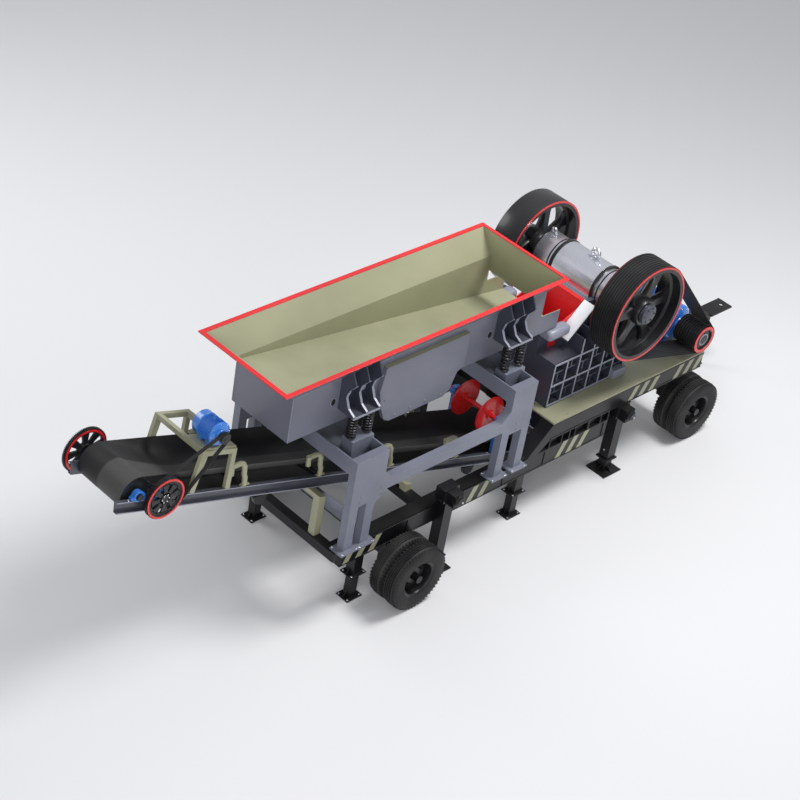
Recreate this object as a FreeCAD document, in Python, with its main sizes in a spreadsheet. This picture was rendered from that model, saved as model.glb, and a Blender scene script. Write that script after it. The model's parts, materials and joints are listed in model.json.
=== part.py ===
"""Mobile jaw crushing plant: feeder with hopper, jaw crusher, drive and belt conveyor on a wheeled chassis.

Millimetres. X runs along the plant towards the tow bar, Y across it towards the far side, Z up from the
ground. The origin is on the ground below the middle of the whole plant.
"""
import FreeCAD, Part
import math
import os
import re
import Sketcher

SIZES = {
    # Chassis: two side frames, each a low rail, a web and a raised rail under the deck.
    "rail_outer": 1195, "rail_width": 240, "low_bottom": 850, "low_top": 1150, "low_left": -3285,
    "low_right": 2345, "high_bottom": 1320, "deck_bottom": 1600, "deck_top": 1630, "high_left": 965,
    "high_right": 4565, "strut_foot": 500, "strut_length": 240, "web_inset": 60, "web_rib": 20,
    "beam_width": 150, "beam_bottom": 1000, "second_beam": -1645, "chute_left": 1480, "chute_right": 1880,
    # Tow bar and its eye.
    "tow_half": 100, "tow_depth": 150, "eye_left": 6245, "eye_right": 6795, "eye_half": 150,
    "eye_bottom": 1080, "eye_top": 1110, "eye_hole_x": 6675, "eye_hole_radius": 40, "tow_leg_x": 6345,
    "tow_leg_half": 45, "tow_foot_half": 100, "foot_plate": 20,
    # Small telescopic legs under the low rails.
    "leg_left": -2810, "leg_right": 525, "leg_y": 1055, "leg_foot_long": 290, "leg_foot_wide": 240,
    "leg_inner": 130, "leg_outer": 160, "leg_flange_bottom": 440, "leg_flange_top": 460,
    # Jacks: a square housing tube, a gear head and a sliding leg.
    "jack_left": -1355, "jack_right": 2670, "jack_right_y": 1125, "jack_tube": 180, "jack_bore": 162,
    "jack_leg": 150, "jack_mouth": 240, "jack_left_top": 1530, "jack_leg_top": 800, "jack_foot_long": 410,
    "jack_foot_wide": 390, "jack_gusset": 110, "jack_head": 300, "jack_head_deep": 230,
    "gear_boss_radius": 70, "gear_boss_long": 45, "jack_box_deep": 150, "jack_box_half": 100,
    # Running gear.
    "wheel_radius": 525, "tyre_width": 270, "dual_gap": 30, "rim_radius": 290, "rim_dish": 60,
    "axle_radius": 60, "axle_left": -2215, "axle_right": 4545, "left_wheel_y": 1230,
    "right_wheel_y": 820, "axle_end": 8, "hanger_half": 70, "left_hanger_y": 1000,
    "right_hanger_y": 580, "hanger_width": 130, "tyre_shoulder": 45, "running_clearance": 0.05,
    # Frame that carries the feeder.
    "frame_outer": 1240, "frame_width": 130, "frame_top": 2710, "plate_bottom": 1900, "post_width": 155,
    "left_leg": -3308, "right_leg": -205, "leg_span": 598, "right_span": 483,
    "post_gap": 130, "post_shift": 95, "brace_bottom": 2000, "brace_top": 2170,
    "gusset": 160, "foot_inner": 1060, "foot_outer": 1310, "foot_reach": 90, "foot_thick": 25,
    "channel_bottom": 2450, "channel_wall": 20, "low_beam_left": -3130, "low_beam_side": 120,
    "low_beam_bottom": 1450,
    "seat_half_wide": 110, "seat_half_long": 200, "left_seat_top": 2770, "right_seat_top": 2740,
    # Springs and the brackets above them.
    "spring_y": 800, "spring_radius": 62, "spring_pitch": 300, "left_spring_x": -2910,
    "right_spring_x": 128, "left_flange": 3160, "right_flange": 3195, "bracket_half": 246,
    "bracket_outer": 890, "bracket_plate": 20, "bracket_top": 3640, "rib_count": 3,
    "waist": 700, "waist_z": 3420, "rib_tip": 850, "rib_tip_z": 3690, "rib_peak": 742, "rib_peak_z": 3893,
    # Trough of the feeder, and the hopper on it.
    "trough_half": 558, "plate": 12, "trough_left": -4020, "trough_bottom": 2920, "fold": 3655,
    "hopper_right": 895, "lip_x": 1325, "lip_z": 2930, "floor_left": -3960, "floor_high": 3600,
    "floor_thick": 40, "lip_side_top": 3200, "cover_outer": 640, "cover_left": -2295,
    "cover_right": -1088, "cover_bottom": 2590, "cover_corner": 145, "cover_top": 3560,
    "cover_bulge": 130, "bulge_z": 3180, "cover_step": -915, "step_z": 2813, "cover_wing": -736,
    "wing_bottom": 2994, "rim_left": -4485, "rim_right": 950, "rim_half": 890,
    "rim_wide": 70, "rim_top": 4040, "rim_thick": 15, "end_bottom": 3405,
    # Conveyor: two side channels on a slope of conveyor_lean degrees.
    "head_x": -6795, "tail_x": 1894, "head_z": 2915, "lean": 17.485, "channel_deep": 180,
    "channel_inner": 440, "channel_outer": 500, "channel_thick": 10, "drum_x": -6455, "drum_z": 3055,
    "drum_radius": 234.5, "belt_inner": 235, "belt_thick": 15, "belt_half": 425, "tail_drum_x": 1600,
    "tail_drum_radius": 159.5, "tail_inner": 160,
    "drum_shaft": 45, "gear_inner": 600, "gear_outer": 650, "gear_radius": 340, "jackshaft_x": -6085,
    "jackshaft_z": 2915, "jackshaft_radius": 30, "pinion_radius": 46, "pulley_inner": 530,
    "pulley_outer": 600, "pulley_radius": 294, "gear_hole_ring": 215, "gear_hole": 55,
    "block_half": 110, "block_rise": 75, "roller_radius": 50, "roller_half": 400, "roller_pin": 15,
    "first_bracket": -4645, "bracket_pitch": 1430, "bracket_high": 380, "bracket_bar": 60,
    "arm_reach": 5, "arm_drop": 35, "portal_left": -5601, "portal_right": -4900, "portal_post": 80,
    "portal_high": 845, "top_left": -5435, "top_right": -4850, "motor_axis_x": -5165,
    "motor_axis_z": 3480, "small_motor_radius": 170,
    "small_motor_near": -500, "small_motor_far": -90, "small_pulley_radius": 75, "small_shaft": 25,
    "shaft_socket": 60, "belt_gap": 0.3, "v_belt_thick": 12, "strap_thick": 20, "strap_x": 1000,
    "strap_wide": 90, "tail_post_x": -3405, "middle_post_x": -1630, "conveyor_post": 120,
    "post_inner": 620,
    # Shaft with two discs under the feeder's low end.
    "disc_x": 585, "disc_z": 1360, "disc_radius": 300, "disc_y": 260, "disc_thick": 30,
    "disc_shaft": 40, "disc_hub": 80, "disc_hub_long": 90, "disc_shaft_half": 560, "stand_half": 60,
    "stand_cap": 80,
    # Crusher body.
    "crusher_left": 1135, "crusher_right": 2895, "mouth_half": 450, "wall": 70, "rib_outer": 850,
    "wall_step": 1545, "step_top": 2600, "shoulder_x": 2045, "shoulder_z": 3060,
    "slope_outer": 670, "slope_thick": 30,
    "front_wall_right": 1375, "lip_radius": 115, "lip_centre_z": 2760, "rear_wall": 100,
    "rear_wall_top": 2650, "ledge": 35, "low_ledge": 2000, "high_ledge": 2390, "base_flange": 50,
    "crusher_rib": 30, "crusher_rib_top": 2690, "jaw_plate": 80, "jaw_bottom": 1760,
    "jaw_plate_top": 2700, "jaw_plate_half": 422, "cheek": 18, "swing_top_x": 2150,
    "swing_top_z": 2990, "swing_foot_x": 1800, "swing_heel_x": 2020, "swing_back_x": 2720,
    "swing_back_z": 2830, "swing_half": 400, "barrel_radius": 350, "barrel_bore": 150,
    # Eccentric shaft, flywheels and their bearings.
    "shaft_x": 2533, "shaft_z": 3108, "shaft_radius": 145, "housing_radius": 330, "housing_outer": 820,
    "flywheel_radius": 800, "flywheel_inner": 859, "flywheel_outer": 1307, "fly_rim": 120,
    "fly_hub": 230, "fly_web_inner": 960, "fly_web_outer": 1040, "fly_hole_ring": 440, "fly_hole": 150,
    "shaft_end": 1325,
    # Crusher motor on the deck.
    "motor_x": 4300, "motor_z": 2000, "motor_radius": 300, "motor_near": -800, "motor_far": 200,
    "motor_foot_half": 260, "motor_foot_top": 1800, "drive_radius": 233, "drive_near": -1300,
    "drive_far": -850, "drive_shaft": 60, "drive_socket": 110, "band_near": -1292, "band_far": -874,
}

os.makedirs("parts", exist_ok=True)
doc = FreeCAD.newDocument("mobile_jaw_crushing_plant")
nodes = []


def fill_sheet():
    """Put every driving dimension in a cell of its own, with its name as alias."""
    sheet = doc.addObject("Spreadsheet::Sheet", "Sizes")
    for row, (name, value) in enumerate(SIZES.items(), 1):
        sheet.set("A%d" % row, name)
        sheet.set("B%d" % row, str(value))
        sheet.setAlias("B%d" % row, name)
    doc.recompute()
    return sheet


def sized(text):
    """Turn the bare names in an expression into cells of the sheet."""
    return re.sub(r"[a-z][a-z_]+", lambda word: "Sizes." + word[0] if word[0] in SIZES else word[0],
                  str(text))


def minus(place):
    return "-(%s)" % place


def both(half):
    """A stretch from one side of the plant's middle plane to the other."""
    return minus(half), half


def near(inner, outer):
    """A stretch of Y on the near side, from its distances to the middle plane."""
    return minus(outer), minus(inner)


def about(middle, half):
    return "%s - (%s)" % (middle, half), "%s + (%s)" % (middle, half)


def box(name, x, y, z):
    """A block between two places along each axis."""
    block = doc.addObject("Part::Box", name)
    for size, axis, (low, high) in (("Length", "x", x), ("Width", "y", y), ("Height", "z", z)):
        block.setExpression(size, sized("(%s) - (%s)" % (high, low)))
        block.setExpression("Placement.Base." + axis, sized(low))
    return block


def bar(name, radius, centre, y):
    """A round bar along Y about a place in the XZ plane."""
    rod = doc.addObject("Part::Cylinder", name)
    rod.Placement = FreeCAD.Placement(FreeCAD.Vector(), FreeCAD.Rotation(FreeCAD.Vector(1, 0, 0), -90))
    rod.setExpression("Radius", sized(radius))
    rod.setExpression("Height", sized("(%s) - (%s)" % (y[1], y[0])))
    for axis, place in zip("xyz", (centre[0], y[0], centre[1])):
        rod.setExpression("Placement.Base." + axis, sized(place))
    return rod


def upright(name, radius, place, z):
    """A round bar along Z."""
    rod = doc.addObject("Part::Cylinder", name)
    rod.setExpression("Radius", sized(radius))
    rod.setExpression("Height", sized("(%s) - (%s)" % (z[1], z[0])))
    for axis, value in zip("xyz", (*place, z[0])):
        rod.setExpression("Placement.Base." + axis, sized(value))
    return rod


def plane(body, role):
    return next(feature for feature in body.Origin.OriginFeatures if feature.Role == role)


def outline(body, role, points):
    """A closed sketch of straight lines through points given as expressions."""
    sketch = body.newObject("Sketcher::SketchObject", body.Name + "_outline")
    sketch.AttachmentSupport = (plane(body, role), [""])
    sketch.MapMode = "FlatFace"
    count = len(points)
    for index in range(count):
        start = FreeCAD.Vector(10 * index + 1, 5 * index + 1, 0)
        sketch.addGeometry(Part.LineSegment(start, start + FreeCAD.Vector(9, 5, 0)), False)
    for index in range(count):
        sketch.addConstraint(Sketcher.Constraint("Coincident", index, 2, (index + 1) % count, 1))
    for index, point in enumerate(points):
        for kind, value, axis in zip(("DistanceX", "DistanceY"), point, (-2, -1)):
            if value == "0":
                sketch.addConstraint(Sketcher.Constraint("PointOnObject", index, 1, axis))
            else:
                row = sketch.addConstraint(Sketcher.Constraint(kind, -1, 1, index, 1, 7.0))
                sketch.setExpression("Constraints[%d]" % row, sized(value))
    return sketch


def padded(name, role, axis, points, stretch):
    """A sketched shape made thick along one axis, from one place to another."""
    body = doc.addObject("PartDesign::Body", name)
    pad = body.newObject("PartDesign::Pad", name + "_pad")
    pad.Profile = outline(body, role, points)
    body.Tip = pad
    pad.SideType = "Symmetric"
    pad.setExpression("Length", sized("(%s) - (%s)" % (stretch[1], stretch[0])))
    body.setExpression("Placement.Base." + axis, sized("((%s) + (%s)) / 2" % stretch))
    return body


def slab(name, points, y):
    """A shape drawn in the XZ plane."""
    return padded(name, "XZ_Plane", "y", points, y)


def rib(name, points, x):
    """A shape drawn in the YZ plane."""
    return padded(name, "YZ_Plane", "x", points, x)


def turned(name, points, centre):
    """A round part about a Y axis, from points given as radius and Y."""
    body = doc.addObject("PartDesign::Body", name)
    sketch = outline(body, "XY_Plane", points)
    spin = body.newObject("PartDesign::Revolution", name + "_spin")
    spin.Profile = sketch
    spin.ReferenceAxis = (sketch, ["V_Axis"])
    spin.Angle = 360
    for axis, place in zip("xz", centre):
        body.setExpression("Placement.Base." + axis, sized(place))
    return body


def drill_ring(body, ring, radius, count):
    """Cut a ring of round holes along Y through a turned part."""
    sketch = body.newObject("Sketcher::SketchObject", body.Name + "_hole")
    sketch.AttachmentSupport = (plane(body, "XZ_Plane"), [""])
    sketch.MapMode = "FlatFace"
    sketch.addGeometry(Part.Circle(FreeCAD.Vector(300, 0, 0), FreeCAD.Vector(0, 0, 1), 50), False)
    row = sketch.addConstraint(Sketcher.Constraint("Radius", 0, 50))
    sketch.setExpression("Constraints[%d]" % row, sized(radius))
    row = sketch.addConstraint(Sketcher.Constraint("DistanceX", -1, 1, 0, 3, 300))
    sketch.setExpression("Constraints[%d]" % row, sized(ring))
    sketch.addConstraint(Sketcher.Constraint("PointOnObject", 0, 3, -1))
    pocket = body.newObject("PartDesign::Pocket", body.Name + "_pocket")
    pocket.Profile = sketch
    pocket.Type = 1
    pocket.SideType = "Symmetric"
    doc.recompute()
    pattern = body.newObject("PartDesign::PolarPattern", body.Name + "_holes")
    pattern.Originals = [pocket]
    pattern.Axis = (plane(body, "Y_Axis"), [""])
    pattern.Angle = 360
    pattern.Occurrences = count
    body.Tip = pattern


def joined(name, parts):
    shape = doc.addObject("Part::MultiFuse", name)
    shape.Shapes = parts
    return shape


def cut(name, base, tool):
    shape = doc.addObject("Part::Cut", name)
    shape.Base = base
    shape.Tool = tool
    return shape


def mirrored(name, source):
    """The same part on the far side."""
    copy = doc.addObject("Part::Mirroring", name)
    copy.Source = source
    copy.Normal = FreeCAD.Vector(0, 1, 0)
    return copy


def pair(name, source):
    """A near part and its mirror image, as one sub-part."""
    return joined(name, [source, mirrored(name + "_mirror", source)])


def keep(part):
    """Count a finished object among the sub-parts that are written."""
    part.Label = part.Name
    nodes.append(part)
    return part


def keep_both(part):
    """Keep a near sub-part and its mirror image as two sub-parts."""
    keep(part)
    keep(mirrored(part.Name.replace("near", "far"), part))


def build_chassis():
    side = near("rail_outer - rail_width", "rail_outer")
    web_side = near("rail_outer - rail_width + web_inset", "rail_outer - web_inset")
    strut = [("strut_foot", "low_top"), ("high_left", "deck_bottom"), ("high_left", "high_bottom"),
             ("strut_foot + strut_length", "low_top")]
    pieces = [
        box("low_rail", ("low_left", "low_right"), side, ("low_bottom", "low_top")),
        box("high_rail", ("high_left", "high_right"), side, ("high_bottom", "deck_bottom")),
        box("rail_web", ("high_left", "low_right"), web_side, ("low_top", "high_bottom")),
        slab("strut", strut, side),
    ]
    for index in range(4):
        start = "high_left + %d * (low_right - high_left - web_rib) / 3" % index
        pieces.append(box("web_rib_%d" % index, (start, start + " + web_rib"), side,
                          ("low_top", "high_bottom")))
    keep_both(joined("side_frame_near", pieces))

    inner = both("rail_outer - rail_width")
    low, high = ("beam_bottom", "low_top"), ("high_bottom", "deck_bottom")
    beams = [box("end_beam", ("low_left - beam_width", "low_left"), both("rail_outer"), low)]
    for name, left, level in (("second", "second_beam", low), ("third", "low_right - beam_width", low),
                              ("front", "high_left", high), ("middle", "low_right", high),
                              ("rear", "high_right - beam_width", high)):
        beams.append(box(name + "_beam", (left, left + " + beam_width"), inner, level))
    keep(joined("cross_beams", beams))

    deck = box("deck_blank", ("high_left", "high_right"), both("rail_outer"), ("deck_bottom", "deck_top"))
    chute = box("chute", ("chute_left", "chute_right"), both("mouth_half"), ("deck_bottom", "deck_top"))
    keep(cut("deck_plate", deck, chute))


def build_tow_bar():
    arm = slab("tow_arm", [("high_right", "deck_bottom"), ("eye_left", "eye_top"),
                           ("eye_left", "eye_bottom - tow_depth / 3"),
                           ("high_right", "deck_bottom - tow_depth")], both("tow_half"))
    pieces = [
        arm,
        box("eye_plate", ("eye_left", "eye_right"), both("eye_half"), ("eye_bottom", "eye_top")),
        box("tow_leg", about("tow_leg_x", "tow_leg_half"), both("tow_leg_half"),
            ("foot_plate", "eye_bottom")),
        box("tow_foot", about("tow_leg_x", "tow_foot_half"), both("tow_foot_half"), ("0", "foot_plate")),
    ]
    hole = upright("eye_hole", "eye_hole_radius", ("eye_hole_x", "0"), ("eye_bottom", "eye_top"))
    keep(cut("tow_bar", joined("tow_bar_blank", pieces), hole))


def column(name, x, y, long, wide, z):
    """A square column about a place on the near side."""
    return box(name, about(x, long + " / 2"), about(minus(y), wide + " / 2"), z)


def build_support_legs():
    legs = []
    for side, x in (("left", "leg_left"), ("right", "leg_right")):
        parts = [
            column("leg_foot_" + side, x, "leg_y", "leg_foot_long", "leg_foot_wide", ("0", "foot_plate")),
            column("leg_inner_" + side, x, "leg_y", "leg_inner", "leg_inner",
                   ("foot_plate", "leg_flange_bottom")),
            column("leg_flange_" + side, x, "leg_y", "leg_foot_long", "leg_foot_wide",
                   ("leg_flange_bottom", "leg_flange_top")),
            column("leg_outer_" + side, x, "leg_y", "leg_outer", "leg_outer",
                   ("leg_flange_top", "low_bottom")),
        ]
        leg = joined("support_leg_" + side, parts)
        legs += [leg, mirrored("support_leg_far_" + side, leg)]
    keep(joined("support_legs", legs))


def build_jacks():
    housings = []
    for side, x, y, top in (("left", "jack_left", "rail_outer + jack_tube / 2", "jack_left_top"),
                            ("right", "jack_right", "jack_right_y", "high_bottom")):
        tube = column("jack_tube_" + side, x, y, "jack_tube", "jack_tube", ("jack_mouth", top))
        head = box("jack_head_" + side, about(x, "jack_head / 2"),
                   near(y + " - jack_tube / 2", y + " + jack_tube / 2"),
                   (top + " - jack_head_deep", top))
        gear = box("jack_gear_" + side, about(x, "jack_box_half"),
                   near(y + " + jack_tube / 2", y + " + jack_tube / 2 + jack_box_deep"),
                   (top + " - jack_head_deep", top + " - foot_thick"))
        boss = bar("jack_boss_" + side, "gear_boss_radius", (x, top + " - jack_head_deep / 2"),
                   near(y + " + jack_tube / 2 + jack_box_deep",
                        y + " + jack_tube / 2 + jack_box_deep + gear_boss_long"))
        bore = column("jack_bore_" + side, x, y, "jack_bore", "jack_bore",
                      ("jack_mouth", "jack_leg_top + jack_mouth"))
        housing = cut("jack_housing_" + side, joined("jack_blank_" + side, [tube, head, gear, boss]),
                      bore)
        housings += [housing, mirrored("jack_housing_far_" + side, housing)]

        foot = column("jack_foot_" + side, x, y, "jack_foot_long", "jack_foot_wide", ("0", "foot_plate"))
        stem = column("jack_stem_" + side, x, y, "jack_leg", "jack_leg", ("foot_plate", "jack_leg_top"))
        flare = [("-jack_foot_wide / 2 + foot_plate", "foot_plate"),
                 ("jack_foot_wide / 2 - foot_plate", "foot_plate"),
                 ("jack_leg / 2", "jack_gusset"), ("-jack_leg / 2", "jack_gusset")]
        cross = rib("jack_gusset_" + side, flare, about(x, "foot_plate / 2"))
        cross.setExpression("Placement.Base.y", sized(minus(y)))
        along = slab("jack_fin_" + side, flare, about(minus(y), "foot_plate / 2"))
        along.setExpression("Placement.Base.x", sized(x))
        keep_both(joined("jack_leg_near_" + side, [foot, stem, cross, along]))
    keep(joined("jack_housings", housings))


def build_running_gear():
    axles = []
    for side, x, wheel_y, hanger_y, top in (
            ("left", "axle_left", "left_wheel_y", "left_hanger_y", "low_bottom"),
            ("right", "axle_right", "right_wheel_y", "right_hanger_y", "high_bottom")):
        width = "(2 * tyre_width + dual_gap)"
        spindle = bar("axle_bar_" + side, "axle_radius", (x, "wheel_radius"),
                      both(wheel_y + " + " + width + " - axle_end"))
        hanger = box("hanger_" + side, about(x, "hanger_half"),
                     near(hanger_y, hanger_y + " + hanger_width"),
                     ("wheel_radius - hanger_half - foot_plate", top))
        axles.append(joined("axle_" + side, [spindle, hanger, mirrored("hanger_far_" + side, hanger)]))

        first, second = "-(%s)" % wheel_y, "-(%s + tyre_width + dual_gap)" % wheel_y
        last = "-(%s + %s)" % (wheel_y, width)
        middle = "-(%s + tyre_width + dual_gap / 2)" % wheel_y
        bore = "axle_radius + running_clearance"
        profile = [(bore, first + " - rim_dish"), ("rim_radius", first + " - rim_dish"),
                   ("rim_radius", first),
                   ("wheel_radius - tyre_shoulder", first), ("wheel_radius", first + " - tyre_shoulder"),
                   ("wheel_radius", first + " - tyre_width + tyre_shoulder"),
                   ("wheel_radius - tyre_shoulder", first + " - tyre_width"),
                   ("wheel_radius - 2 * tyre_shoulder", middle),
                   ("wheel_radius - tyre_shoulder", second), ("wheel_radius",
                           second + " - tyre_shoulder"),
                   ("wheel_radius", last + " + tyre_shoulder"), ("wheel_radius - tyre_shoulder", last),
                   ("rim_radius", last), ("rim_radius", last + " + 2 * rim_dish"), (bore,
                           last + " + 2 * rim_dish")]
        keep_both(turned("wheel_near_" + side, profile, (x, "wheel_radius")))
    keep(joined("axles", axles))


def build_feeder_frame():
    side = near("frame_outer - frame_width", "frame_outer")
    pieces = [box("brace", ("left_leg + leg_span", "right_leg"), side, ("brace_bottom", "brace_top"))]
    feet = "low_top + foot_thick"
    for name, left, span, starts in (
            ("left", "left_leg", "leg_span", ("left_leg", "left_leg + leg_span - post_gap - post_width")),
            ("right", "right_leg", "right_span",
             ("right_leg - post_shift", "right_leg + right_span - post_width"))):
        pieces.append(box("leg_plate_" + name, (left, "%s + %s" % (left, span)), side,
                          ("plate_bottom", "frame_top")))
        for end, start in zip(("front", "back"), starts):
            stop = start + " + post_width"
            top = "brace_bottom" if start.endswith("post_shift") else "plate_bottom"
            pieces.append(box("post_%s_%s" % (name, end), (start, stop), side, (feet, top)))
            pieces.append(box("foot_%s_%s" % (name, end),
                              (start + " - foot_reach", stop + " + foot_reach"),
                              near("foot_inner", "foot_outer"), ("low_top", feet)))
    edge = "left_leg + leg_span"
    pieces.append(slab("leg_curve", [
        (edge, "plate_bottom"), (edge + " - post_gap", "plate_bottom"), (edge + " - post_gap",
                "plate_bottom - post_gap"),
        (edge + " - 0.85 * post_gap", "plate_bottom - 0.5 * post_gap"),
        (edge + " - 0.5 * post_gap", "plate_bottom - 0.15 * post_gap")], side))
    for name, corner, reach in (("left", "left_leg + leg_span", "gusset"),
                                ("right", "right_leg", "-gusset")):
        tip = "%s + %s" % (corner, reach)
        pieces.append(slab("gusset_" + name, [(corner, "brace_top"), (tip, "brace_top"),
                                              (corner, "brace_top + gusset")], side))
    keep_both(joined("feeder_frame_near", pieces))

    inner = both("frame_outer - frame_width")
    beams = [box("low_beam", ("low_beam_left", "low_beam_left + low_beam_side"),
                 both("rail_outer - frame_width"),
                 ("low_beam_bottom", "low_beam_bottom + low_beam_side"))]
    for name, left, span, seat_x, seat_top in (
            ("left", "left_leg", "leg_span", "left_spring_x", "left_seat_top"),
            ("right", "right_leg", "right_span", "right_spring_x", "right_seat_top")):
        right = "%s + %s" % (left, span)
        outer = box("channel_block_" + name, (left, right), inner, ("channel_bottom", "frame_top"))
        inside = box("channel_inside_" + name, (left + " + channel_wall", right + " - channel_wall"),
                     inner,
                     ("channel_bottom + channel_wall", "frame_top"))
        seat = box("seat_" + name, about(seat_x, "seat_half_long"), about("-spring_y", "seat_half_wide"),
                   ("channel_bottom + channel_wall", seat_top))
        beams.append(joined("channel_" + name, [cut("channel_shell_" + name, outer, inside), seat,
                                                mirrored("seat_far_" + name, seat)]))
    keep(joined("feeder_cross_beams", beams))


def build_springs():
    springs, brackets = [], []
    for name, x, seat_top, flange in (("left", "left_spring_x", "left_seat_top", "left_flange"),
                                      ("right", "right_spring_x", "right_seat_top", "right_flange")):
        for end, shift in (("a", "-"), ("b", "+")):
            spring = upright("spring_%s_%s" % (name, end), "spring_radius",
                             ("%s %s spring_pitch / 2" % (x, shift), "-spring_y"), (seat_top, flange))
            springs += [spring, mirrored("spring_far_%s_%s" % (name, end), spring)]

        wall = "trough_half + plate"
        parts = [
            box("bracket_flange_" + name, about(x, "bracket_half"), near(wall, "bracket_outer"),
                (flange, flange + " + bracket_plate")),
            box("bracket_back_" + name, about(x, "bracket_half"), near(wall, wall + " + bracket_plate"),
                (flange, "bracket_top")),
        ]
        for index in range(SIZES["rib_count"]):
            start = "%s - bracket_half + %d * (2 * bracket_half - bracket_plate) / (rib_count - 1)" % (x,
                    index)
            curve = [(minus(wall), flange), (minus("bracket_outer"), flange),
                     (minus("bracket_outer"), flange + " + 2 * bracket_plate"),
                     (minus("waist + 0.35 * (bracket_outer - waist)"),
                      "0.4 * waist_z + 0.6 * (%s)" % flange),
                     (minus("waist"), "waist_z"), (minus("waist + 0.25 * (rib_tip - waist)"),
                                                   "0.5 * waist_z + 0.5 * rib_tip_z"),
                     (minus("rib_tip"), "rib_tip_z"), (minus("rib_peak"), "rib_peak_z"),
                     (minus(wall + " + 2"), "fold"), (minus(wall), "fold - foot_thick")]
            parts.append(rib("bracket_rib_%s_%d" % (name, index), curve,
                             (start, start + " + bracket_plate")))
        bracket = joined("spring_bracket_" + name, parts)
        brackets += [bracket, mirrored("spring_bracket_far_" + name, bracket)]
    keep(joined("springs", springs))
    keep(joined("spring_brackets", brackets))


def build_trough():
    wall = "trough_half + plate"
    side = [("trough_left + plate", "trough_bottom"), ("trough_left + plate", "fold"),
            ("hopper_right + plate", "fold"),
            ("hopper_right + plate", "lip_side_top + plate"), ("lip_x", "lip_side_top"),
            ("lip_x", "lip_z - floor_thick")]
    keep_both(slab("trough_side_near", side, near("trough_half", wall)))
    keep(box("trough_end_plate", ("trough_left", "trough_left + plate"), both(wall),
             ("trough_bottom", "fold")))
    floor = [("floor_left", "floor_high"), ("lip_x", "lip_z"), ("lip_x", "lip_z - floor_thick"),
             ("floor_left", "floor_high - floor_thick")]
    back = box("floor_back", ("trough_left + plate", "floor_left"), both("trough_half"),
               ("floor_high - floor_thick", "floor_high"))
    keep(joined("trough_floor", [slab("floor_slope", floor, both("trough_half")), back]))

    cover = [("cover_left - cover_bulge / 2", "cover_top"), ("cover_left - cover_bulge", "bulge_z"),
             ("cover_left - cover_bulge * 0.6", "0.6 * bulge_z + 0.4 * cover_bottom"),
             ("cover_left", "cover_bottom + cover_corner"), ("cover_left + cover_corner / 3",
                     "cover_bottom + cover_corner / 3"),
             ("cover_left + cover_corner", "cover_bottom"), ("cover_right", "cover_bottom"),
             ("cover_step - cover_bulge / 3", "cover_bottom + cover_corner / 2"), ("cover_step",
                     "step_z"),
             ("0.7 * cover_step + 0.3 * cover_wing", "wing_bottom - cover_corner / 3"), ("cover_wing",
                     "wing_bottom"),
             ("cover_wing", "cover_top")]
    panel = slab("exciter_panel", cover, near(wall, "cover_outer"))
    core = box("exciter_core", ("cover_left + cover_corner", "cover_right"), both(wall),
               ("cover_bottom + cover_corner / 2", "trough_bottom - 2 * floor_thick"))
    keep(joined("exciter_housing", [panel, mirrored("exciter_panel_far", panel), core]))


def funnel(name, left, right, half, rim_left, rim_half):
    """A block that widens upwards from the fold to the rim."""
    shape = doc.addObject("Part::Wedge", name)
    shape.Placement = FreeCAD.Placement(FreeCAD.Vector(), FreeCAD.Rotation(FreeCAD.Vector(1, 0, 0), 90))
    for size, value in (("Xmin", left), ("Xmax", right), ("X2min", rim_left), ("X2max", right),
                        ("Zmin", minus(half)), ("Zmax", half), ("Z2min", minus(rim_half)), ("Z2max",
                                rim_half),
                        ("Ymin", "fold"), ("Ymax", "rim_top - rim_thick")):
        shape.setExpression(size, sized(value))
    return shape


def build_hopper():
    inner_left, inner_half = "rim_left + rim_wide", "rim_half - rim_wide"
    outer = funnel("funnel_outer", "trough_left", "hopper_right + plate", "trough_half + plate",
                   inner_left + " - plate", inner_half + " + plate")
    inner = funnel("funnel_inner", "trough_left + plate", "hopper_right", "trough_half", inner_left,
                   inner_half)
    end = box("hopper_end", ("hopper_right", "hopper_right + plate"), both("trough_half"),
              ("end_bottom", "fold"))
    keep(joined("hopper_flare", [cut("hopper_shell", outer, inner), end]))
    level = ("rim_top - rim_thick", "rim_top")
    rim = box("rim_blank", ("rim_left", "rim_right"), both("rim_half"), level)
    mouth = box("rim_mouth", (inner_left, "hopper_right"), both(inner_half), level)
    keep(cut("hopper_rim", rim, mouth))


def rail_z(x, lift="0"):
    """Height at a place along the conveyor, measured straight up from the bottom of its side channels."""
    return "head_z - tan(lean) * (%s - head_x) + (%s)" % (x, lift)


def sloped(name, left, right, low, high, y):
    """A bar along the conveyor's slope, between two heights over the bottom of its side channels."""
    return slab(name, [(left, rail_z(left, low)), (right, rail_z(right, low)),
                       (right, rail_z(right, high)),
                       (left, rail_z(left, high))], y)


def value(name):
    return float(sheet.get(sheet.getCellFromAlias(name)))


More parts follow.
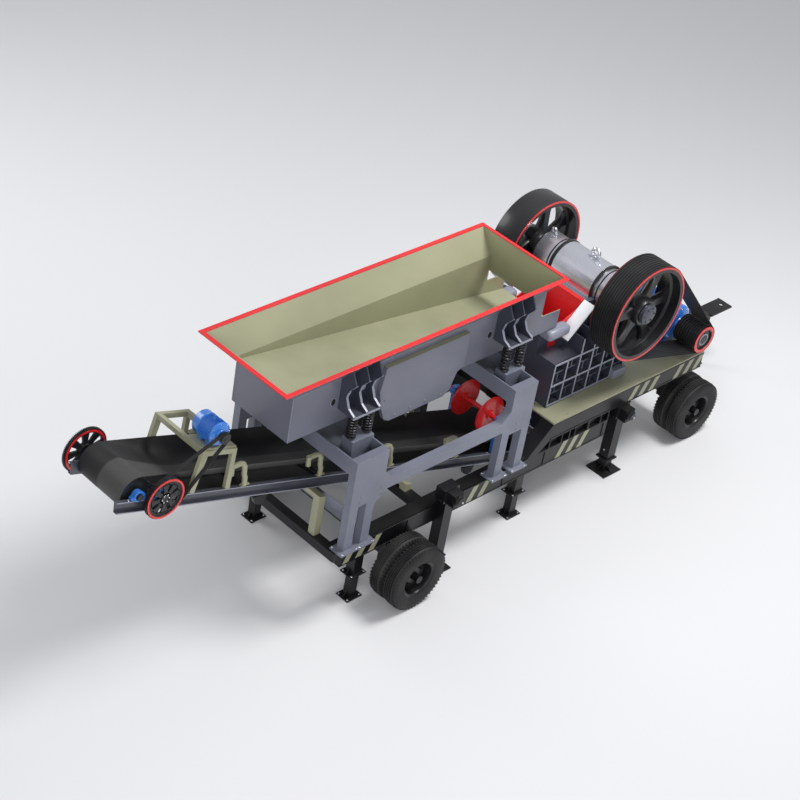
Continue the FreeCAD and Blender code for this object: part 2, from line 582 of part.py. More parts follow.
def loop(name, wheels, thick, y):
    """A belt round two wheels on Y axes, each given as x, z and radius, in straight runs and arcs."""
    def ring(extra):
        (x1, z1, r1), (x2, z2, r2) = ((x, z, radius + extra) for x, z, radius in wheels)
        lean = math.atan2(z2 - z1, x2 - x1)
        open_angle = math.acos((r1 - r2) / math.hypot(x2 - x1, z2 - z1))

        def at(x, z, radius, angle):
            return FreeCAD.Vector(x + radius * math.cos(angle), y[0], z + radius * math.sin(angle))
        up, down = lean + open_angle, lean - open_angle
        edges = [
            Part.LineSegment(at(x1, z1, r1, up), at(x2, z2, r2, up)),
            Part.Arc(at(x2, z2, r2, up), at(x2, z2, r2, lean), at(x2, z2, r2, down)),
            Part.LineSegment(at(x2, z2, r2, down), at(x1, z1, r1, down)),
            Part.Arc(at(x1, z1, r1, down), at(x1, z1, r1, lean + math.pi), at(x1, z1, r1, up)),
        ]
        return Part.Face(Part.Wire([edge.toShape() for edge in edges]))
    belt = doc.addObject("Part::Feature", name)
    belt.Shape = ring(thick).cut(ring(0)).extrude(FreeCAD.Vector(0, y[1] - y[0], 0))
    belt.Placement = FreeCAD.Placement()
    return belt


def build_conveyor_frame():
    web = near("channel_inner", "channel_outer")
    solid = sloped("channel_solid", "head_x", "tail_x", "0", "channel_deep", web)
    hollow = sloped("channel_hollow", "head_x", "tail_x", "channel_thick", "channel_deep - channel_thick",
                    near("channel_inner + channel_thick", "channel_outer"))
    keep_both(cut("conveyor_rail_near", solid, hollow))

    brackets, rollers = [], []
    for index in range(5):
        middle = "(first_bracket + %d * bracket_pitch)" % index
        left, right = about(middle, "bracket_bar / 2")
        foot = rail_z(middle, "channel_deep + bracket_bar / 4")
        stand = rib("idler_stand_%d" % index, [
            (minus("channel_outer"), foot), (minus("channel_outer"), foot + " + bracket_high"),
            (minus("channel_inner"), foot + " + bracket_high"),
            (minus("channel_inner - arm_reach"), foot + " + bracket_high - arm_drop"),
            (minus("channel_inner - arm_reach"), foot + " + bracket_high - arm_drop - bracket_bar"),
            (minus("channel_inner"), foot + " + bracket_high - bracket_bar * 1.2"),
            (minus("channel_inner"), foot)], (left, right))
        seat = sloped("idler_seat_%d" % index, left + " - bracket_bar", right + " + bracket_bar",
                      "channel_deep",
                      "channel_deep + bracket_bar / 2", web)
        frame = joined("idler_bracket_%d" % index, [stand, seat])
        brackets += [frame, mirrored("idler_bracket_far_%d" % index, frame)]
        x = "(%s)" % middle
        reach = "belt_inner - (belt_inner - tail_inner) * (%s - drum_x) / (tail_drum_x - drum_x)" % x
        depth = "drum_z - tan(lean) * (%s - drum_x) + (%s - roller_radius - belt_gap) / cos(lean)" % (x,
                reach)
        rollers.append(joined("idler_%d" % index, [
            bar("roller_%d" % index, "roller_radius", (x, depth), both("roller_half")),
            bar("roller_pin_%d" % index, "roller_pin", (x, depth), both("channel_inner"))]))
    keep(joined("idler_brackets", brackets))

    tail_z = "drum_z - tan(lean) * (tail_drum_x - drum_x)"
    rollers.append(joined("tail_drum", [
        bar("tail_drum_shell", "tail_drum_radius", ("tail_drum_x", tail_z), both("roller_half")),
        bar("tail_drum_pin", "drum_shaft", ("tail_drum_x", tail_z), both("channel_inner"))]))
    keep(joined("idler_rollers", rollers))

    blocks = []
    for name, x, z, hole in (("head", "drum_x", "drum_z", "drum_shaft + running_clearance"),
                             ("jackshaft", "jackshaft_x", "jackshaft_z",
                              "jackshaft_radius + running_clearance"),
                             ("tail", "tail_drum_x", tail_z, "drum_shaft")):
        left, right = about(x, "block_half")
        body = slab("block_body_" + name,
                    [(left, rail_z(left, "channel_deep")), (right, rail_z(right, "channel_deep")),
                                           (right, z), (x, z + " + block_rise"), (left, z)], web)
        block = cut("block_" + name, body, bar("block_bore_" + name, hole, (x, z), web))
        blocks += [block, mirrored("block_far_" + name, block)]
    keep(joined("pillow_blocks", blocks))

    posts = []
    for name, x in (("left", "tail_post_x"), ("middle", "middle_post_x")):
        right = x + " + conveyor_post"
        under = "-conveyor_post * 2 / 3"
        post = slab("conveyor_post_" + name,
                    [(x, "low_top"), (right, "low_top"), (right, rail_z(right, under)),
                                              (x, rail_z(x, under))], near("post_inner",
                                                      "post_inner + conveyor_post"))
        tie = sloped("conveyor_tie_" + name, x, right, under, "0", both("post_inner + conveyor_post"))
        posts.append(joined("conveyor_trestle_" + name,
                            [post, mirrored("conveyor_post_far_" + name, post), tie]))
    strap = box("strap", ("strap_x", "strap_x + strap_wide"),
                near("channel_outer", "channel_outer + strap_thick"),
                (rail_z("strap_x", "channel_thick"), "high_bottom"))
    keep(joined("conveyor_posts", posts + [strap, mirrored("strap_far", strap)]))


def build_conveyor_drive():
    belt_wheels = [(value("drum_x"), value("drum_z"), value("belt_inner")),
                   (value("tail_drum_x"), value("drum_z") - math.tan(math.radians(value("lean")))
                    * (value("tail_drum_x") - value("drum_x")), value("tail_inner"))]
    half = value("belt_half")
    keep(loop("conveyor_belt", belt_wheels, value("belt_thick"), (-half, half)))

    reach = "gear_outer + drum_shaft"
    keep(turned("head_drum",
                [("0", "-channel_outer - drum_shaft"), ("drum_shaft", "-channel_outer - drum_shaft"),
                              ("drum_shaft", "-roller_half"), ("drum_radius", "-roller_half"),
                              ("drum_radius", "roller_half"), ("drum_shaft",
                                      "roller_half"), ("drum_shaft", reach),
                              ("0", reach)], ("drum_x", "drum_z")))
    gear = turned("head_gear",
                  [("drum_shaft", "gear_inner - foot_plate"),
                   ("2 * drum_shaft", "gear_inner - foot_plate"),
                                ("2 * drum_shaft", "gear_inner"), ("gear_radius", "gear_inner"),
                                ("gear_radius", "gear_outer"), ("drum_shaft", "gear_outer")], ("drum_x",
                                        "drum_z"))
    drill_ring(gear, "gear_hole_ring", "gear_hole", 8)
    keep(gear)

    profile = [("0", "-pulley_outer"), ("pulley_radius", "-pulley_outer"),
               ("pulley_radius", "-pulley_inner"),
               ("jackshaft_radius", "-pulley_inner"), ("jackshaft_radius",
                                                       "gear_inner"), ("pinion_radius", "gear_inner"),
               ("pinion_radius", "gear_outer"), ("0", "gear_outer")]
    keep(turned("jackshaft_pulley", profile, ("jackshaft_x", "jackshaft_z")))

    side = near("channel_inner", "channel_outer")
    under = "portal_high - portal_post"
    corners = [("portal_left", "channel_deep"), ("top_left", "portal_high"), ("top_right", "portal_high"),
               ("portal_right", "channel_deep"), ("portal_right - portal_post", "channel_deep"),
               ("top_right - portal_post", under), ("top_left + portal_post", under),
               ("portal_left + portal_post", "channel_deep")]
    frame = slab("portal_side", [(x, rail_z(x, lift)) for x, lift in corners], side)
    across = both("channel_inner")
    pieces = [frame, mirrored("portal_side_far", frame),
              sloped("portal_beam_left", "top_left", "top_left + portal_post", under, "portal_high",
                     across),
              sloped("portal_beam_right", "top_right - portal_post", "top_right", under, "portal_high",
                     across),
              sloped("motor_base", "top_left", "top_right", "portal_high", "portal_high + foot_thick",
                     ("small_motor_near + foot_thick", "small_motor_far - foot_thick"))]
    keep(joined("motor_portal", pieces))

    left, right = about("motor_axis_x", "small_motor_radius * 0.8")
    lift = "portal_high + foot_thick"
    feet = slab("small_motor_feet", [(left, rail_z(left, lift)), (right, rail_z(right, lift)),
                                     (right, "motor_axis_z"), (left, "motor_axis_z")],
                ("small_motor_near + 2 * foot_thick", "small_motor_far - 2 * foot_thick"))
    shell = bar("small_motor_shell", "small_motor_radius", ("motor_axis_x", "motor_axis_z"),
                ("small_motor_near", "small_motor_far"))
    socket = bar("small_motor_socket", "small_shaft + running_clearance",
                 ("motor_axis_x", "motor_axis_z"),
                 ("small_motor_near", "small_motor_near + shaft_socket"))
    keep(cut("conveyor_motor", joined("small_motor_body", [shell, feet]), socket))
    keep(turned("conveyor_motor_pulley", [
        ("0", "-pulley_outer"), ("small_pulley_radius", "-pulley_outer"), ("small_pulley_radius",
                "-pulley_inner"),
        ("small_shaft", "-pulley_inner"), ("small_shaft", "small_motor_near + shaft_socket - belt_gap"),
        ("0", "small_motor_near + shaft_socket - belt_gap")], ("motor_axis_x", "motor_axis_z")))
    gap = value("belt_gap")
    keep(loop("conveyor_v_belts",
              [(value("jackshaft_x"), value("jackshaft_z"), value("pulley_radius") + gap),
               (value("motor_axis_x"), value("motor_axis_z"), value("small_pulley_radius") + gap)],
              value("v_belt_thick"), (5 - value("pulley_outer"), -5 - value("pulley_inner"))))


def build_disc_rotor():
    profile = [("0", "-disc_shaft_half"), ("disc_shaft", "-disc_shaft_half")]
    for middle in ("-disc_y", "disc_y"):
        for hub, half in (("disc_hub", "disc_hub_long / 2"), ("disc_radius", "disc_thick / 2")):
            profile.append(("disc_shaft" if hub == "disc_hub" else "disc_hub",
                            "%s - %s" % (middle, half)))
            profile.append((hub, "%s - %s" % (middle, half)))
        for hub, half in (("disc_radius", "disc_thick / 2"), ("disc_hub", "disc_hub_long / 2")):
            profile.append((hub, "%s + %s" % (middle, half)))
            profile.append(("disc_shaft" if hub == "disc_hub" else "disc_hub",
                            "%s + %s" % (middle, half)))
    profile += [("disc_shaft", "disc_shaft_half"), ("0", "disc_shaft_half")]
    keep(turned("disc_rotor", profile, ("disc_x", "disc_z")))
    web = near("channel_inner", "channel_outer")
    left, right = about("disc_x", "stand_half")
    body = slab("stand_body",
                [(left, rail_z(left, "channel_deep")), (right, rail_z(right, "channel_deep")),
                               (right, "disc_z + stand_cap"), (left, "disc_z + stand_cap")], web)
    stand = cut("stand_near", body, bar("stand_bore", "disc_shaft + running_clearance",
                                        ("disc_x", "disc_z"), web))
    keep(pair("disc_stands", stand))


def build_crusher_body():
    ledge_top = "high_ledge + ledge"
    plate = [("crusher_left", "deck_top"), ("crusher_left", ledge_top), ("wall_step", ledge_top),
             ("wall_step", "step_top"), ("shoulder_x", "shoulder_z"), ("crusher_right", "shoulder_z"),
             ("crusher_right", "deck_top")]
    outside = near("mouth_half + wall", "rib_outer")
    length = ("crusher_left", "crusher_right")
    pieces = [slab("crusher_plate", plate, near("mouth_half", "mouth_half + wall")),
              box("crusher_base", length, outside, ("deck_top", "deck_top + base_flange")),
              slab("slope_plate", [("wall_step", "step_top"), ("shoulder_x", "shoulder_z"),
                                   ("shoulder_x", "shoulder_z - slope_thick"),
                                   ("wall_step", "step_top - slope_thick")], near("mouth_half + wall",
                                           "slope_outer"))]
    for name, level in (("low", "low_ledge"), ("high", "high_ledge")):
        pieces.append(box("ledge_" + name, length, outside, (level, level + " + ledge")))
    for index in range(7):
        start = "crusher_left + %d * (crusher_right - crusher_left - crusher_rib) / 6" % index
        top = "high_ledge" if index < 2 else "crusher_rib_top"
        pieces.append(box("crusher_rib_%d" % index, (start, start + " + crusher_rib"), outside,
                          ("deck_top + base_flange", top)))
    seat = bar("housing_seat", "housing_radius", ("shaft_x", "shaft_z"),
               near("mouth_half", "housing_outer"))
    keep_both(cut("crusher_side_near", joined("crusher_side_blank", pieces), seat))

    inside = both("mouth_half")
    front = box("front_block", ("crusher_left", "front_wall_right"), inside, ("deck_top", "lip_centre_z"))
    lip = bar("front_lip", "lip_radius", ("front_wall_right - lip_radius", "lip_centre_z"), inside)
    keep(joined("crusher_front_wall", [front, lip]))
    keep(box("crusher_rear_wall", ("crusher_right - rear_wall", "crusher_right"), inside,
             ("deck_top", "rear_wall_top")))

    fixed = box("fixed_jaw_plate", ("front_wall_right", "front_wall_right + jaw_plate"),
                both("jaw_plate_half"),
                ("jaw_bottom", "jaw_plate_top"))
    swing = slab("swing_jaw_plate", [("swing_top_x", "swing_top_z"), ("swing_foot_x", "jaw_bottom"),
                                     ("swing_foot_x - jaw_plate", "jaw_bottom"),
                                     ("swing_top_x - jaw_plate", "swing_top_z")], both("jaw_plate_half"))
    cheek = slab("cheek_plate",
                 [("front_wall_right", "jaw_bottom"), ("front_wall_right", "jaw_plate_top"),
                                 ("swing_top_x - jaw_plate", "swing_top_z"), ("swing_top_x",
                                         "swing_top_z"),
                                 ("swing_foot_x", "jaw_bottom")], near("mouth_half - cheek",
                                         "mouth_half"))
    keep(joined("jaw_plates", [fixed, swing, cheek, mirrored("cheek_plate_far", cheek)]))

    jaw = slab("swing_body", [("swing_top_x", "swing_top_z"), ("swing_foot_x", "jaw_bottom"),
                              ("swing_heel_x", "jaw_bottom"), ("swing_back_x",
                                      "swing_back_z")], both("swing_half"))
    barrel = bar("barrel", "barrel_radius", ("shaft_x", "shaft_z"), both("swing_half"))
    bore = bar("barrel_hole", "barrel_bore", ("shaft_x", "shaft_z"), both("swing_half"))
    keep(cut("swing_jaw", joined("swing_blank", [jaw, barrel]), bore))

    ring = near("mouth_half", "housing_outer")
    housing = cut("housing_near", bar("housing_round", "housing_radius", ("shaft_x", "shaft_z"), ring),
                  bar("housing_bore", "shaft_radius + running_clearance", ("shaft_x", "shaft_z"), ring))
    keep(pair("bearing_housings", housing))


def build_crusher_drive():
    keep(bar("eccentric_shaft", "shaft_radius", ("shaft_x", "shaft_z"), both("shaft_end")))
    inner, outer = "-flywheel_inner", "-flywheel_outer"
    profile = [("shaft_radius", inner), ("fly_hub", inner), ("fly_hub", "-fly_web_inner"),
               ("flywheel_radius - fly_rim", "-fly_web_inner"), ("flywheel_radius - fly_rim", inner),
               ("flywheel_radius", inner), ("flywheel_radius", outer), ("flywheel_radius - fly_rim",
                       outer),
               ("flywheel_radius - fly_rim", "-fly_web_outer"), ("fly_hub", "-fly_web_outer"),
               ("fly_hub", outer), ("shaft_radius", outer)]
    flywheel = turned("flywheel_near", profile, ("shaft_x", "shaft_z"))
    drill_ring(flywheel, "fly_hole_ring", "fly_hole", 6)
    keep_both(flywheel)

    centre = ("motor_x", "motor_z")
    shell = bar("motor_shell", "motor_radius", centre, ("motor_near", "motor_far"))
    feet = box("motor_feet", about("motor_x", "motor_foot_half"), ("motor_near + 100", "motor_far - 100"),
               ("deck_top", "motor_foot_top"))
    socket = bar("motor_socket", "drive_shaft + running_clearance", centre,
                 ("motor_near", "motor_near + drive_socket"))
    keep(cut("crusher_motor", joined("motor_body", [shell, feet]), socket))
    keep(turned("crusher_motor_pulley", [
        ("0", "drive_near"), ("drive_radius", "drive_near"), ("drive_radius", "drive_far"),
        ("drive_shaft", "drive_far"), ("drive_shaft", "motor_near + drive_socket - belt_gap"),
        ("0", "motor_near + drive_socket - belt_gap")], centre))
    gap = value("belt_gap")
    keep(loop("crusher_v_belts",
              [(value("shaft_x"), value("shaft_z"), value("flywheel_radius") + gap),
               (value("motor_x"), value("motor_z"), value("drive_radius") + gap)],
              value("v_belt_thick"), (value("band_near"), value("band_far"))))


def write_parts():
    """Check every object, then write each sub-part to a file of its own name."""
    doc.recompute()
    broken = [item.Name for item in doc.Objects if {"Invalid", "Error"} & set(item.State)]
    broken += [part.Name for part in nodes if part.Shape.isNull() or not part.Shape.isValid()]
    if broken:
        raise RuntimeError("failed objects: " + ", ".join(broken))
    for part in nodes:
        part.Shape.exportStep("parts/%s.step" % part.Label)
    print(len(nodes), "sub-parts written")


sheet = fill_sheet()
build_chassis()
build_tow_bar()
build_support_legs()
build_jacks()
build_running_gear()
build_feeder_frame()
build_springs()
build_trough()
build_hopper()
build_conveyor_frame()
build_conveyor_drive()
build_disc_rotor()
build_crusher_body()
build_crusher_drive()
write_parts()
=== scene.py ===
"""Looks of the mobile jaw crushing plant: finishes for its frame and the detailed pieces that ride on it.

Metres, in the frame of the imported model: X towards the tow bar, Y towards the far side, Z up from the ground.
"""
import json
import math

import bmesh
import bpy
from bpy.props import FloatProperty, FloatVectorProperty, IntProperty, PointerProperty
from mathutils import Matrix, Vector


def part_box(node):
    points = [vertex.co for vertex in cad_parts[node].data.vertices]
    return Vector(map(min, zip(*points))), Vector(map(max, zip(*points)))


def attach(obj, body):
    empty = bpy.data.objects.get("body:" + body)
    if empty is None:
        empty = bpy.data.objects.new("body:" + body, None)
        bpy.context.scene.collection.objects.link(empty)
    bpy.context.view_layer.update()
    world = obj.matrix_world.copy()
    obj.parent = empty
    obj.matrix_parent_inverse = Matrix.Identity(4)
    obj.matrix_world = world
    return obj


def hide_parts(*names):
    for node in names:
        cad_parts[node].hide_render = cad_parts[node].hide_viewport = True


bl_info = {
    "name": "Mobile jaw crushing plant",
    "version": (1, 0, 0),
    "blender": (4, 5, 0),
    "location": "View3D > Sidebar > Crushing plant",
    "description": "Builds the finishes and detailed pieces of a mobile jaw crushing plant",
    "category": "Object",
}

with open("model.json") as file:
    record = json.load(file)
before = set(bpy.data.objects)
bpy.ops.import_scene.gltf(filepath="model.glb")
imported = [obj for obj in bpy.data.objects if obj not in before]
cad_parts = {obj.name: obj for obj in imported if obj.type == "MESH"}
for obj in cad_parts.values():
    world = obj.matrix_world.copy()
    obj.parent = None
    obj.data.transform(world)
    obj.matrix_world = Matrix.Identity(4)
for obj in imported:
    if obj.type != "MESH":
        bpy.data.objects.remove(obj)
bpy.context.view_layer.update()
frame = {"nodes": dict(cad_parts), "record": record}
TURN = 2 * math.pi
SIDES = (("near", -1), ("far", 1))
DUST = (0.40, 0.39, 0.36, 1.0)
CHANNEL_DEEP, CHANNEL_MIDDLE = 0.18, 0.47
CHANNEL_LEAN = math.radians(17.485)
DRUM_RADIUS, TAIL_RADIUS, BELT_THICK = 0.235, 0.160, 0.015
ROLLER_RADIUS, ROLLER_HALF = 0.1595, 0.40
GROOVES = 10
# Each jack's place along and across, and the height of its top.
JACKS = ((-1.355, 1.285, 1.53), (2.67, 1.125, 1.32))
# The small legs' places along, and their distance from the middle.
LEGS, LEG_ACROSS = (-2.81, 0.525), 1.055
# The spring brackets' places along, and the height of each one's flange.
BRACKETS = ((-2.910, 3.160), (0.128, 3.195))
LOW_RAIL, HIGH_RAIL = (0.86, 1.14), (1.33, 1.59)


def middle(node):
    low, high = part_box(node)
    return (low + high) / 2


def wheel_axis(node):
    centre = middle(node)
    return centre.x, centre.z


def half_length(node):
    low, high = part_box(node)
    return (high.x - low.x) / 2


def across(side, first, second):
    """Two distances from the middle plane as places on one side of it, the lower one first."""
    return sorted((side * first, side * second))


def both_sides(places):
    return [(x, side * y, z) for x, y, z in places for side in (-1, 1)]


def rail_rise(x):
    """Height of the underside of the conveyor's side channels at a place along it."""
    low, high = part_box("conveyor_rail_near")
    return high.z - CHANNEL_DEEP - (high.z - low.z - CHANNEL_DEEP) * (x - low.x) / (high.x - low.x)


def colour(name, value, text):
    return FloatVectorProperty(name=name, description=text, subtype="COLOR", default=value, min=0, max=1)


def length(name, value, text):
    return FloatProperty(name=name, description=text, default=value, min=0.0005, subtype="DISTANCE",
                         unit="LENGTH")


class PlantColours(bpy.types.PropertyGroup):
    """Colours of the paints and bare materials."""
    chassis: colour("Chassis black", (0.006, 0.006, 0.007), "Semi-gloss paint of chassis, legs and jacks")
    frame: colour("Frame grey", (0.165, 0.175, 0.225),
                  "Satin paint of the feeder's legs and cross channels")
    hopper: colour("Hopper grey", (0.150, 0.155, 0.195), "Satin paint outside the hopper and trough")
    lining: colour("Lining olive", (0.31, 0.31, 0.195), "Pale paint inside the hopper and trough")
    olive: colour("Olive", (0.31, 0.31, 0.205), "Paint of the conveyor's tubes, motor portal and deck")
    red: colour("Signal red", (0.68, 0.012, 0.014), "Gloss paint of rim, rings, discs and jaw plates")
    blue: colour("Motor blue", (0.030, 0.175, 0.60), "Gloss paint of the motors and bearings")
    steel: colour("Ground steel", (0.70, 0.71, 0.77), "Machined steel of shafts, barrel and housings")
    # Painted reflection: the slope plates are steel, and this near-white colour stands in for the bright
    # reflection on them.
    bright: colour("Bright plate", (0.80, 0.81, 0.84), "Pale plate beside the crusher's mouth")
    slate: colour("Rail slate", (0.050, 0.054, 0.072), "Satin paint of the conveyor's channels")
    navy: colour("Crusher blue-grey", (0.042, 0.046, 0.068), "Satin paint of the crusher's body")
    # Painted highlight: the lighter grey below stands in for light catching the edges of ribs and flanges.
    edge: colour("Light edge", (0.24, 0.25, 0.31), "Lighter grey on edges of ribs and flanges")
    dark: colour("Wheel grey", (0.012, 0.012, 0.013), "Dark paint of pulleys and flywheels")
    rubber: colour("Rubber", (0.009, 0.009, 0.0095), "Tyres and belts")
    floor: colour("Floor", (0.72, 0.72, 0.725), "Pale studio floor")


class PlantSizes(bpy.types.PropertyGroup):
    """Sizes of the detailed pieces."""
    wire: length("Spring wire", 0.014, "Radius of the wire of a coil spring")
    turns: IntProperty(name="Spring turns", description="Turns of a coil spring", default=8, min=3,
                       max=20)
    tube: length("Tube", 0.038, "Radius of the idler stands' tubes")
    groove: length("Groove", 0.020, "Depth of a V-groove")
    teeth: IntProperty(name="Gear teeth", description="Teeth of the head gear", default=84, min=12,
                       max=200)
    fins: IntProperty(name="Motor fins", description="Cooling fins round a motor", default=44, min=8,
                      max=90)
    trough: length("Belt trough", 0.20, "Depth of the carrying strand between its edges")
    stripe: length("Stripe pitch", 0.245, "Pitch of the slanted warning bars")


class Tree:
    """A node tree filled through one method."""

    def node(self, kind, sockets=(), **settings):
        made = self.tree.nodes.new(kind)
        for name, setting in settings.items():
            setattr(made, name, setting)
        for name, value in dict(sockets).items():
            value = getattr(value, "socket", value)
            if isinstance(value, bpy.types.NodeSocket):
                self.tree.links.new(value, made.inputs[name])
            else:
                made.inputs[name].default_value = value
        return made.outputs


class Value:
    """A number inside a material, with the usual operators."""

    def __init__(self, finish, socket):
        self.finish = finish
        self.socket = socket

    def maths(self, operation, *values):
        return Value(self.finish, self.finish.node("ShaderNodeMath", enumerate(values),
                                                   operation=operation)[0])

    def __add__(self, other):
        return self.maths("ADD", self, other)

    def __sub__(self, other):
        return self.maths("SUBTRACT", self, other)

    def __rsub__(self, other):
        return self.maths("SUBTRACT", other, self)

    def __mul__(self, other):
        return self.maths("MULTIPLY", self, other)

    __radd__ = __add__
    __rmul__ = __mul__

    def __gt__(self, other):
        return self.maths("GREATER_THAN", self, other)

    def ramp(self, low, high):
        """0 below low, 1 above high, and straight between."""
        sockets = {"Value": self, "From Min": low, "From Max": high}
        return Value(self.finish, self.finish.node("ShaderNodeMapRange", sockets)[0])


class Finish(Tree):
    """A material with its shader, and the means to add nodes to it."""

    def __init__(self, name, metallic=0.0, coat=0.0, shine=0.5):
        self.material = bpy.data.materials.new(name)
        self.material.use_nodes = True
        self.tree = self.material.node_tree
        self.tree.nodes.clear()
        surface = self.node("ShaderNodeBsdfPrincipled", {
            "Metallic": metallic, "Coat Weight": coat, "Coat Roughness": 0.12,
            "Specular IOR Level": shine})[0]
        self.shader = surface.node
        self.node("ShaderNodeOutputMaterial", {"Surface": surface})
        self.place = self.node("ShaderNodeTexCoord")["Object"]

    def feed(self, name, value):
        self.tree.links.new(getattr(value, "socket", value), self.shader.inputs[name])

    def noise(self, scale, detail=3.0, stretch=(1, 1, 1)):
        place = self.node("ShaderNodeMapping", {"Vector": self.place, "Scale": stretch})[0]
        return Value(self, self.node("ShaderNodeTexNoise", {"Vector": place, "Scale": scale,
                                                            "Detail": detail})[0])

    def blend(self, amount, first, second):
        return self.node("ShaderNodeMix", {0: amount, 6: first, 7: second}, data_type="RGBA")[2]

    def part(self, vector, index):
        return Value(self, self.node("ShaderNodeSeparateXYZ", {0: vector})[index])

    def normal(self):
        return self.node("ShaderNodeNewGeometry")["Normal"]

    def along(self, first, second):
        return Value(self, self.node("ShaderNodeVectorMath", {0: first, 1: second},
                                     operation="DOT_PRODUCT")["Value"])

    def edges(self, radius):
        """How much a place lies on a sharp edge, and the normal rounded over that edge."""
        rounded = self.node("ShaderNodeBevel", {"Radius": radius}, samples=4)[0]
        return (1 - self.along(rounded, self.normal())).ramp(0.01, 0.12), rounded

    def relief(self, height, strength, distance, **more):
        self.feed("Normal", self.node("ShaderNodeBump", {"Height": height, "Strength": strength,
                                                         "Distance": distance, **more})[0])


def tone(shade, factor):
    return (*[min(1.0, part * factor) for part in shade], 1.0)


def painted(name, shade, roughness, coat=0.25, edge_wear_and_highlight=0.35, dust=0.10, inside=None, shine=0.5):
    """Sprayed paint: cloudy tone, dust settled on what faces up, fine peel, and edges lightened as rubbed wear
    and as painted highlight.
    """
    finish = Finish(name, coat=coat, shine=shine)
    cloud, grain = finish.noise(0.9), finish.noise(26.0, 4.0)
    patches = cloud.ramp(0.3, 0.7)
    base = finish.blend(patches, tone(shade, 0.86), tone(shade, 1.12))
    if inside is not None:
        lining = finish.blend(patches, tone(inside, 0.9), tone(inside, 1.08))
        base = finish.blend(lining_mask(finish), base, lining)
    settled = finish.part(finish.normal(), 2).ramp(0.5, 1.0) * cloud.ramp(0.35, 0.75) * dust
    base = finish.blend(settled, base, DUST)
    edge, rounded = finish.edges(0.007)
    # Edges are lightened: partly rubbed wear, partly painted highlight where light would catch them.
    finish.feed("Base Color", finish.blend(edge * grain.ramp(0.35, 0.7) * edge_wear_and_highlight, base, tone(shade, 2.4)))
    finish.feed("Roughness", roughness + (grain - 0.5) * 0.16 + settled * 0.5)
    finish.relief(grain, 0.06, 0.004, Normal=rounded)
    return finish.material


def lining_mask(finish):
    """1 on faces of the hopper and trough that look up at a point high over their middle, 0 outside."""
    point = middle("hopper_rim") + Vector((0, 0, 3.0))
    away = finish.node("ShaderNodeVectorMath", {0: finish.place, 1: point}, operation="SUBTRACT")[0]
    return 1 - (finish.along(finish.normal(), away) > -0.05)


def ground_steel(name, shade, roughness):
    """Machined steel with fine turning marks along one axis."""
    finish = Finish(name, metallic=0.85)
    lines, cloud = finish.noise(9.0, 4.0, (1, 40, 1)), finish.noise(2.2)
    base = finish.blend(lines.ramp(0.3, 0.7), tone(shade, 0.93), tone(shade, 1.06))
    finish.feed("Base Color", finish.blend(cloud.ramp(0.55, 0.8) * 0.25, base, (0.30, 0.29, 0.30, 1.0)))
    finish.feed("Roughness", roughness + (lines - 0.5) * 0.08 + cloud * 0.06)
    edge, rounded = finish.edges(0.006)
    finish.relief(lines + edge * 0.1, 0.04, 0.001, Normal=rounded)
    return finish.material


def rubber(name, shade, roughness, dust, lit_half=0.0):
    """Rubber with a dull, slightly dusty skin, and on a carrying belt a near half painted lighter as painted
    light on that wing.
    """
    finish = Finish(name, shine=0.3)
    cloud, grain = finish.noise(2.0), finish.noise(60.0, 3.0)
    base = finish.blend(grain.ramp(0.3, 0.7), tone(shade, 0.8), tone(shade, 1.5))
    base = finish.blend(cloud.ramp(0.4, 0.8) * dust, base, (0.16, 0.155, 0.145, 1.0))
    # Painted light: the near half of the carrying strand is made lighter, standing in for light on its near
    # wing.
    if lit_half:
        lit_near_half = (1 - finish.part(finish.place, 1).ramp(0.015, 0.045)) * (grain * 0.4 + 0.8) * lit_half
        base = finish.blend(lit_near_half, base, (0.115, 0.113, 0.108, 1.0))
    finish.feed("Base Color", base)
    finish.feed("Roughness", roughness + (cloud - 0.5) * 0.2)
    finish.relief(grain, 0.12, 0.003)
    return finish.material


FINISHES = {}


def make_finishes(shades):
    """Every finish of the plant; paints give shade, roughness, coat, edge wear with painted highlight, and
    dust.
    """
    for name, shade, *looks in (
            ("frame_grey", shades.frame, 0.42, 0.2, 0.35), ("rim_red", shades.red, 0.30, 0.4, 0.04, 0.0),
            ("olive", shades.olive, 0.45, 0.15, 0.25, 0.08), ("motor_blue", shades.blue, 0.28, 0.5, 0.2,
                    0.04),
            # The edge grey made here is painted highlight, for edges and pieces that catch the light.
            ("crusher_navy", shades.navy, 0.42, 0.2, 0.9, 0.15), ("light_edge", shades.edge, 0.40, 0.2,
                    0.3, 0.05),
            ("spring_black", shades.chassis, 0.30, 0.4, 0.3, 0.05),
            ("lining_olive", shades.lining, 0.46, 0.1, 0.15, 0.05),
            # The near-white plate finish is painted reflection for the steel slope plates.
            ("bright_plate", shades.bright, 0.24, 0.5, 0.1, 0.02), ("rail_slate", shades.slate, 0.34,
                    0.3, 0.6)):
        FINISHES[name] = painted(name, shade, *looks)
    FINISHES.update({
        "chassis_black": painted("chassis_black", shades.chassis, 0.36, 0.1, 0.5, 0.05, shine=0.3),
        "pulley_dark": painted("pulley_dark", shades.dark, 0.34, 0.15, 0.5, 0.04, shine=0.35),
        "hopper_grey": painted("hopper_grey", shades.hopper, 0.44, 0.15, 0.35, 0.06,
                               inside=shades.lining),
        "bare_steel": ground_steel("bare_steel", shades.steel, 0.22),
        "tyre_black": rubber("tyre_black", shades.rubber, 0.62, 0.25),
        "belt_rubber": rubber("belt_rubber", shades.rubber, 0.50, 0.10),
        # The carrying belt's lighter near half is painted light.
        "carrying_rubber_lit_half": rubber("carrying_rubber_lit_half", shades.rubber, 0.50, 0.08, 0.45),
    })


def circle(radius, count):
    """Points round a circle, as pairs."""
    return [(radius * math.cos(TURN * step / count), radius * math.sin(TURN * step / count))
            for step in range(count)]


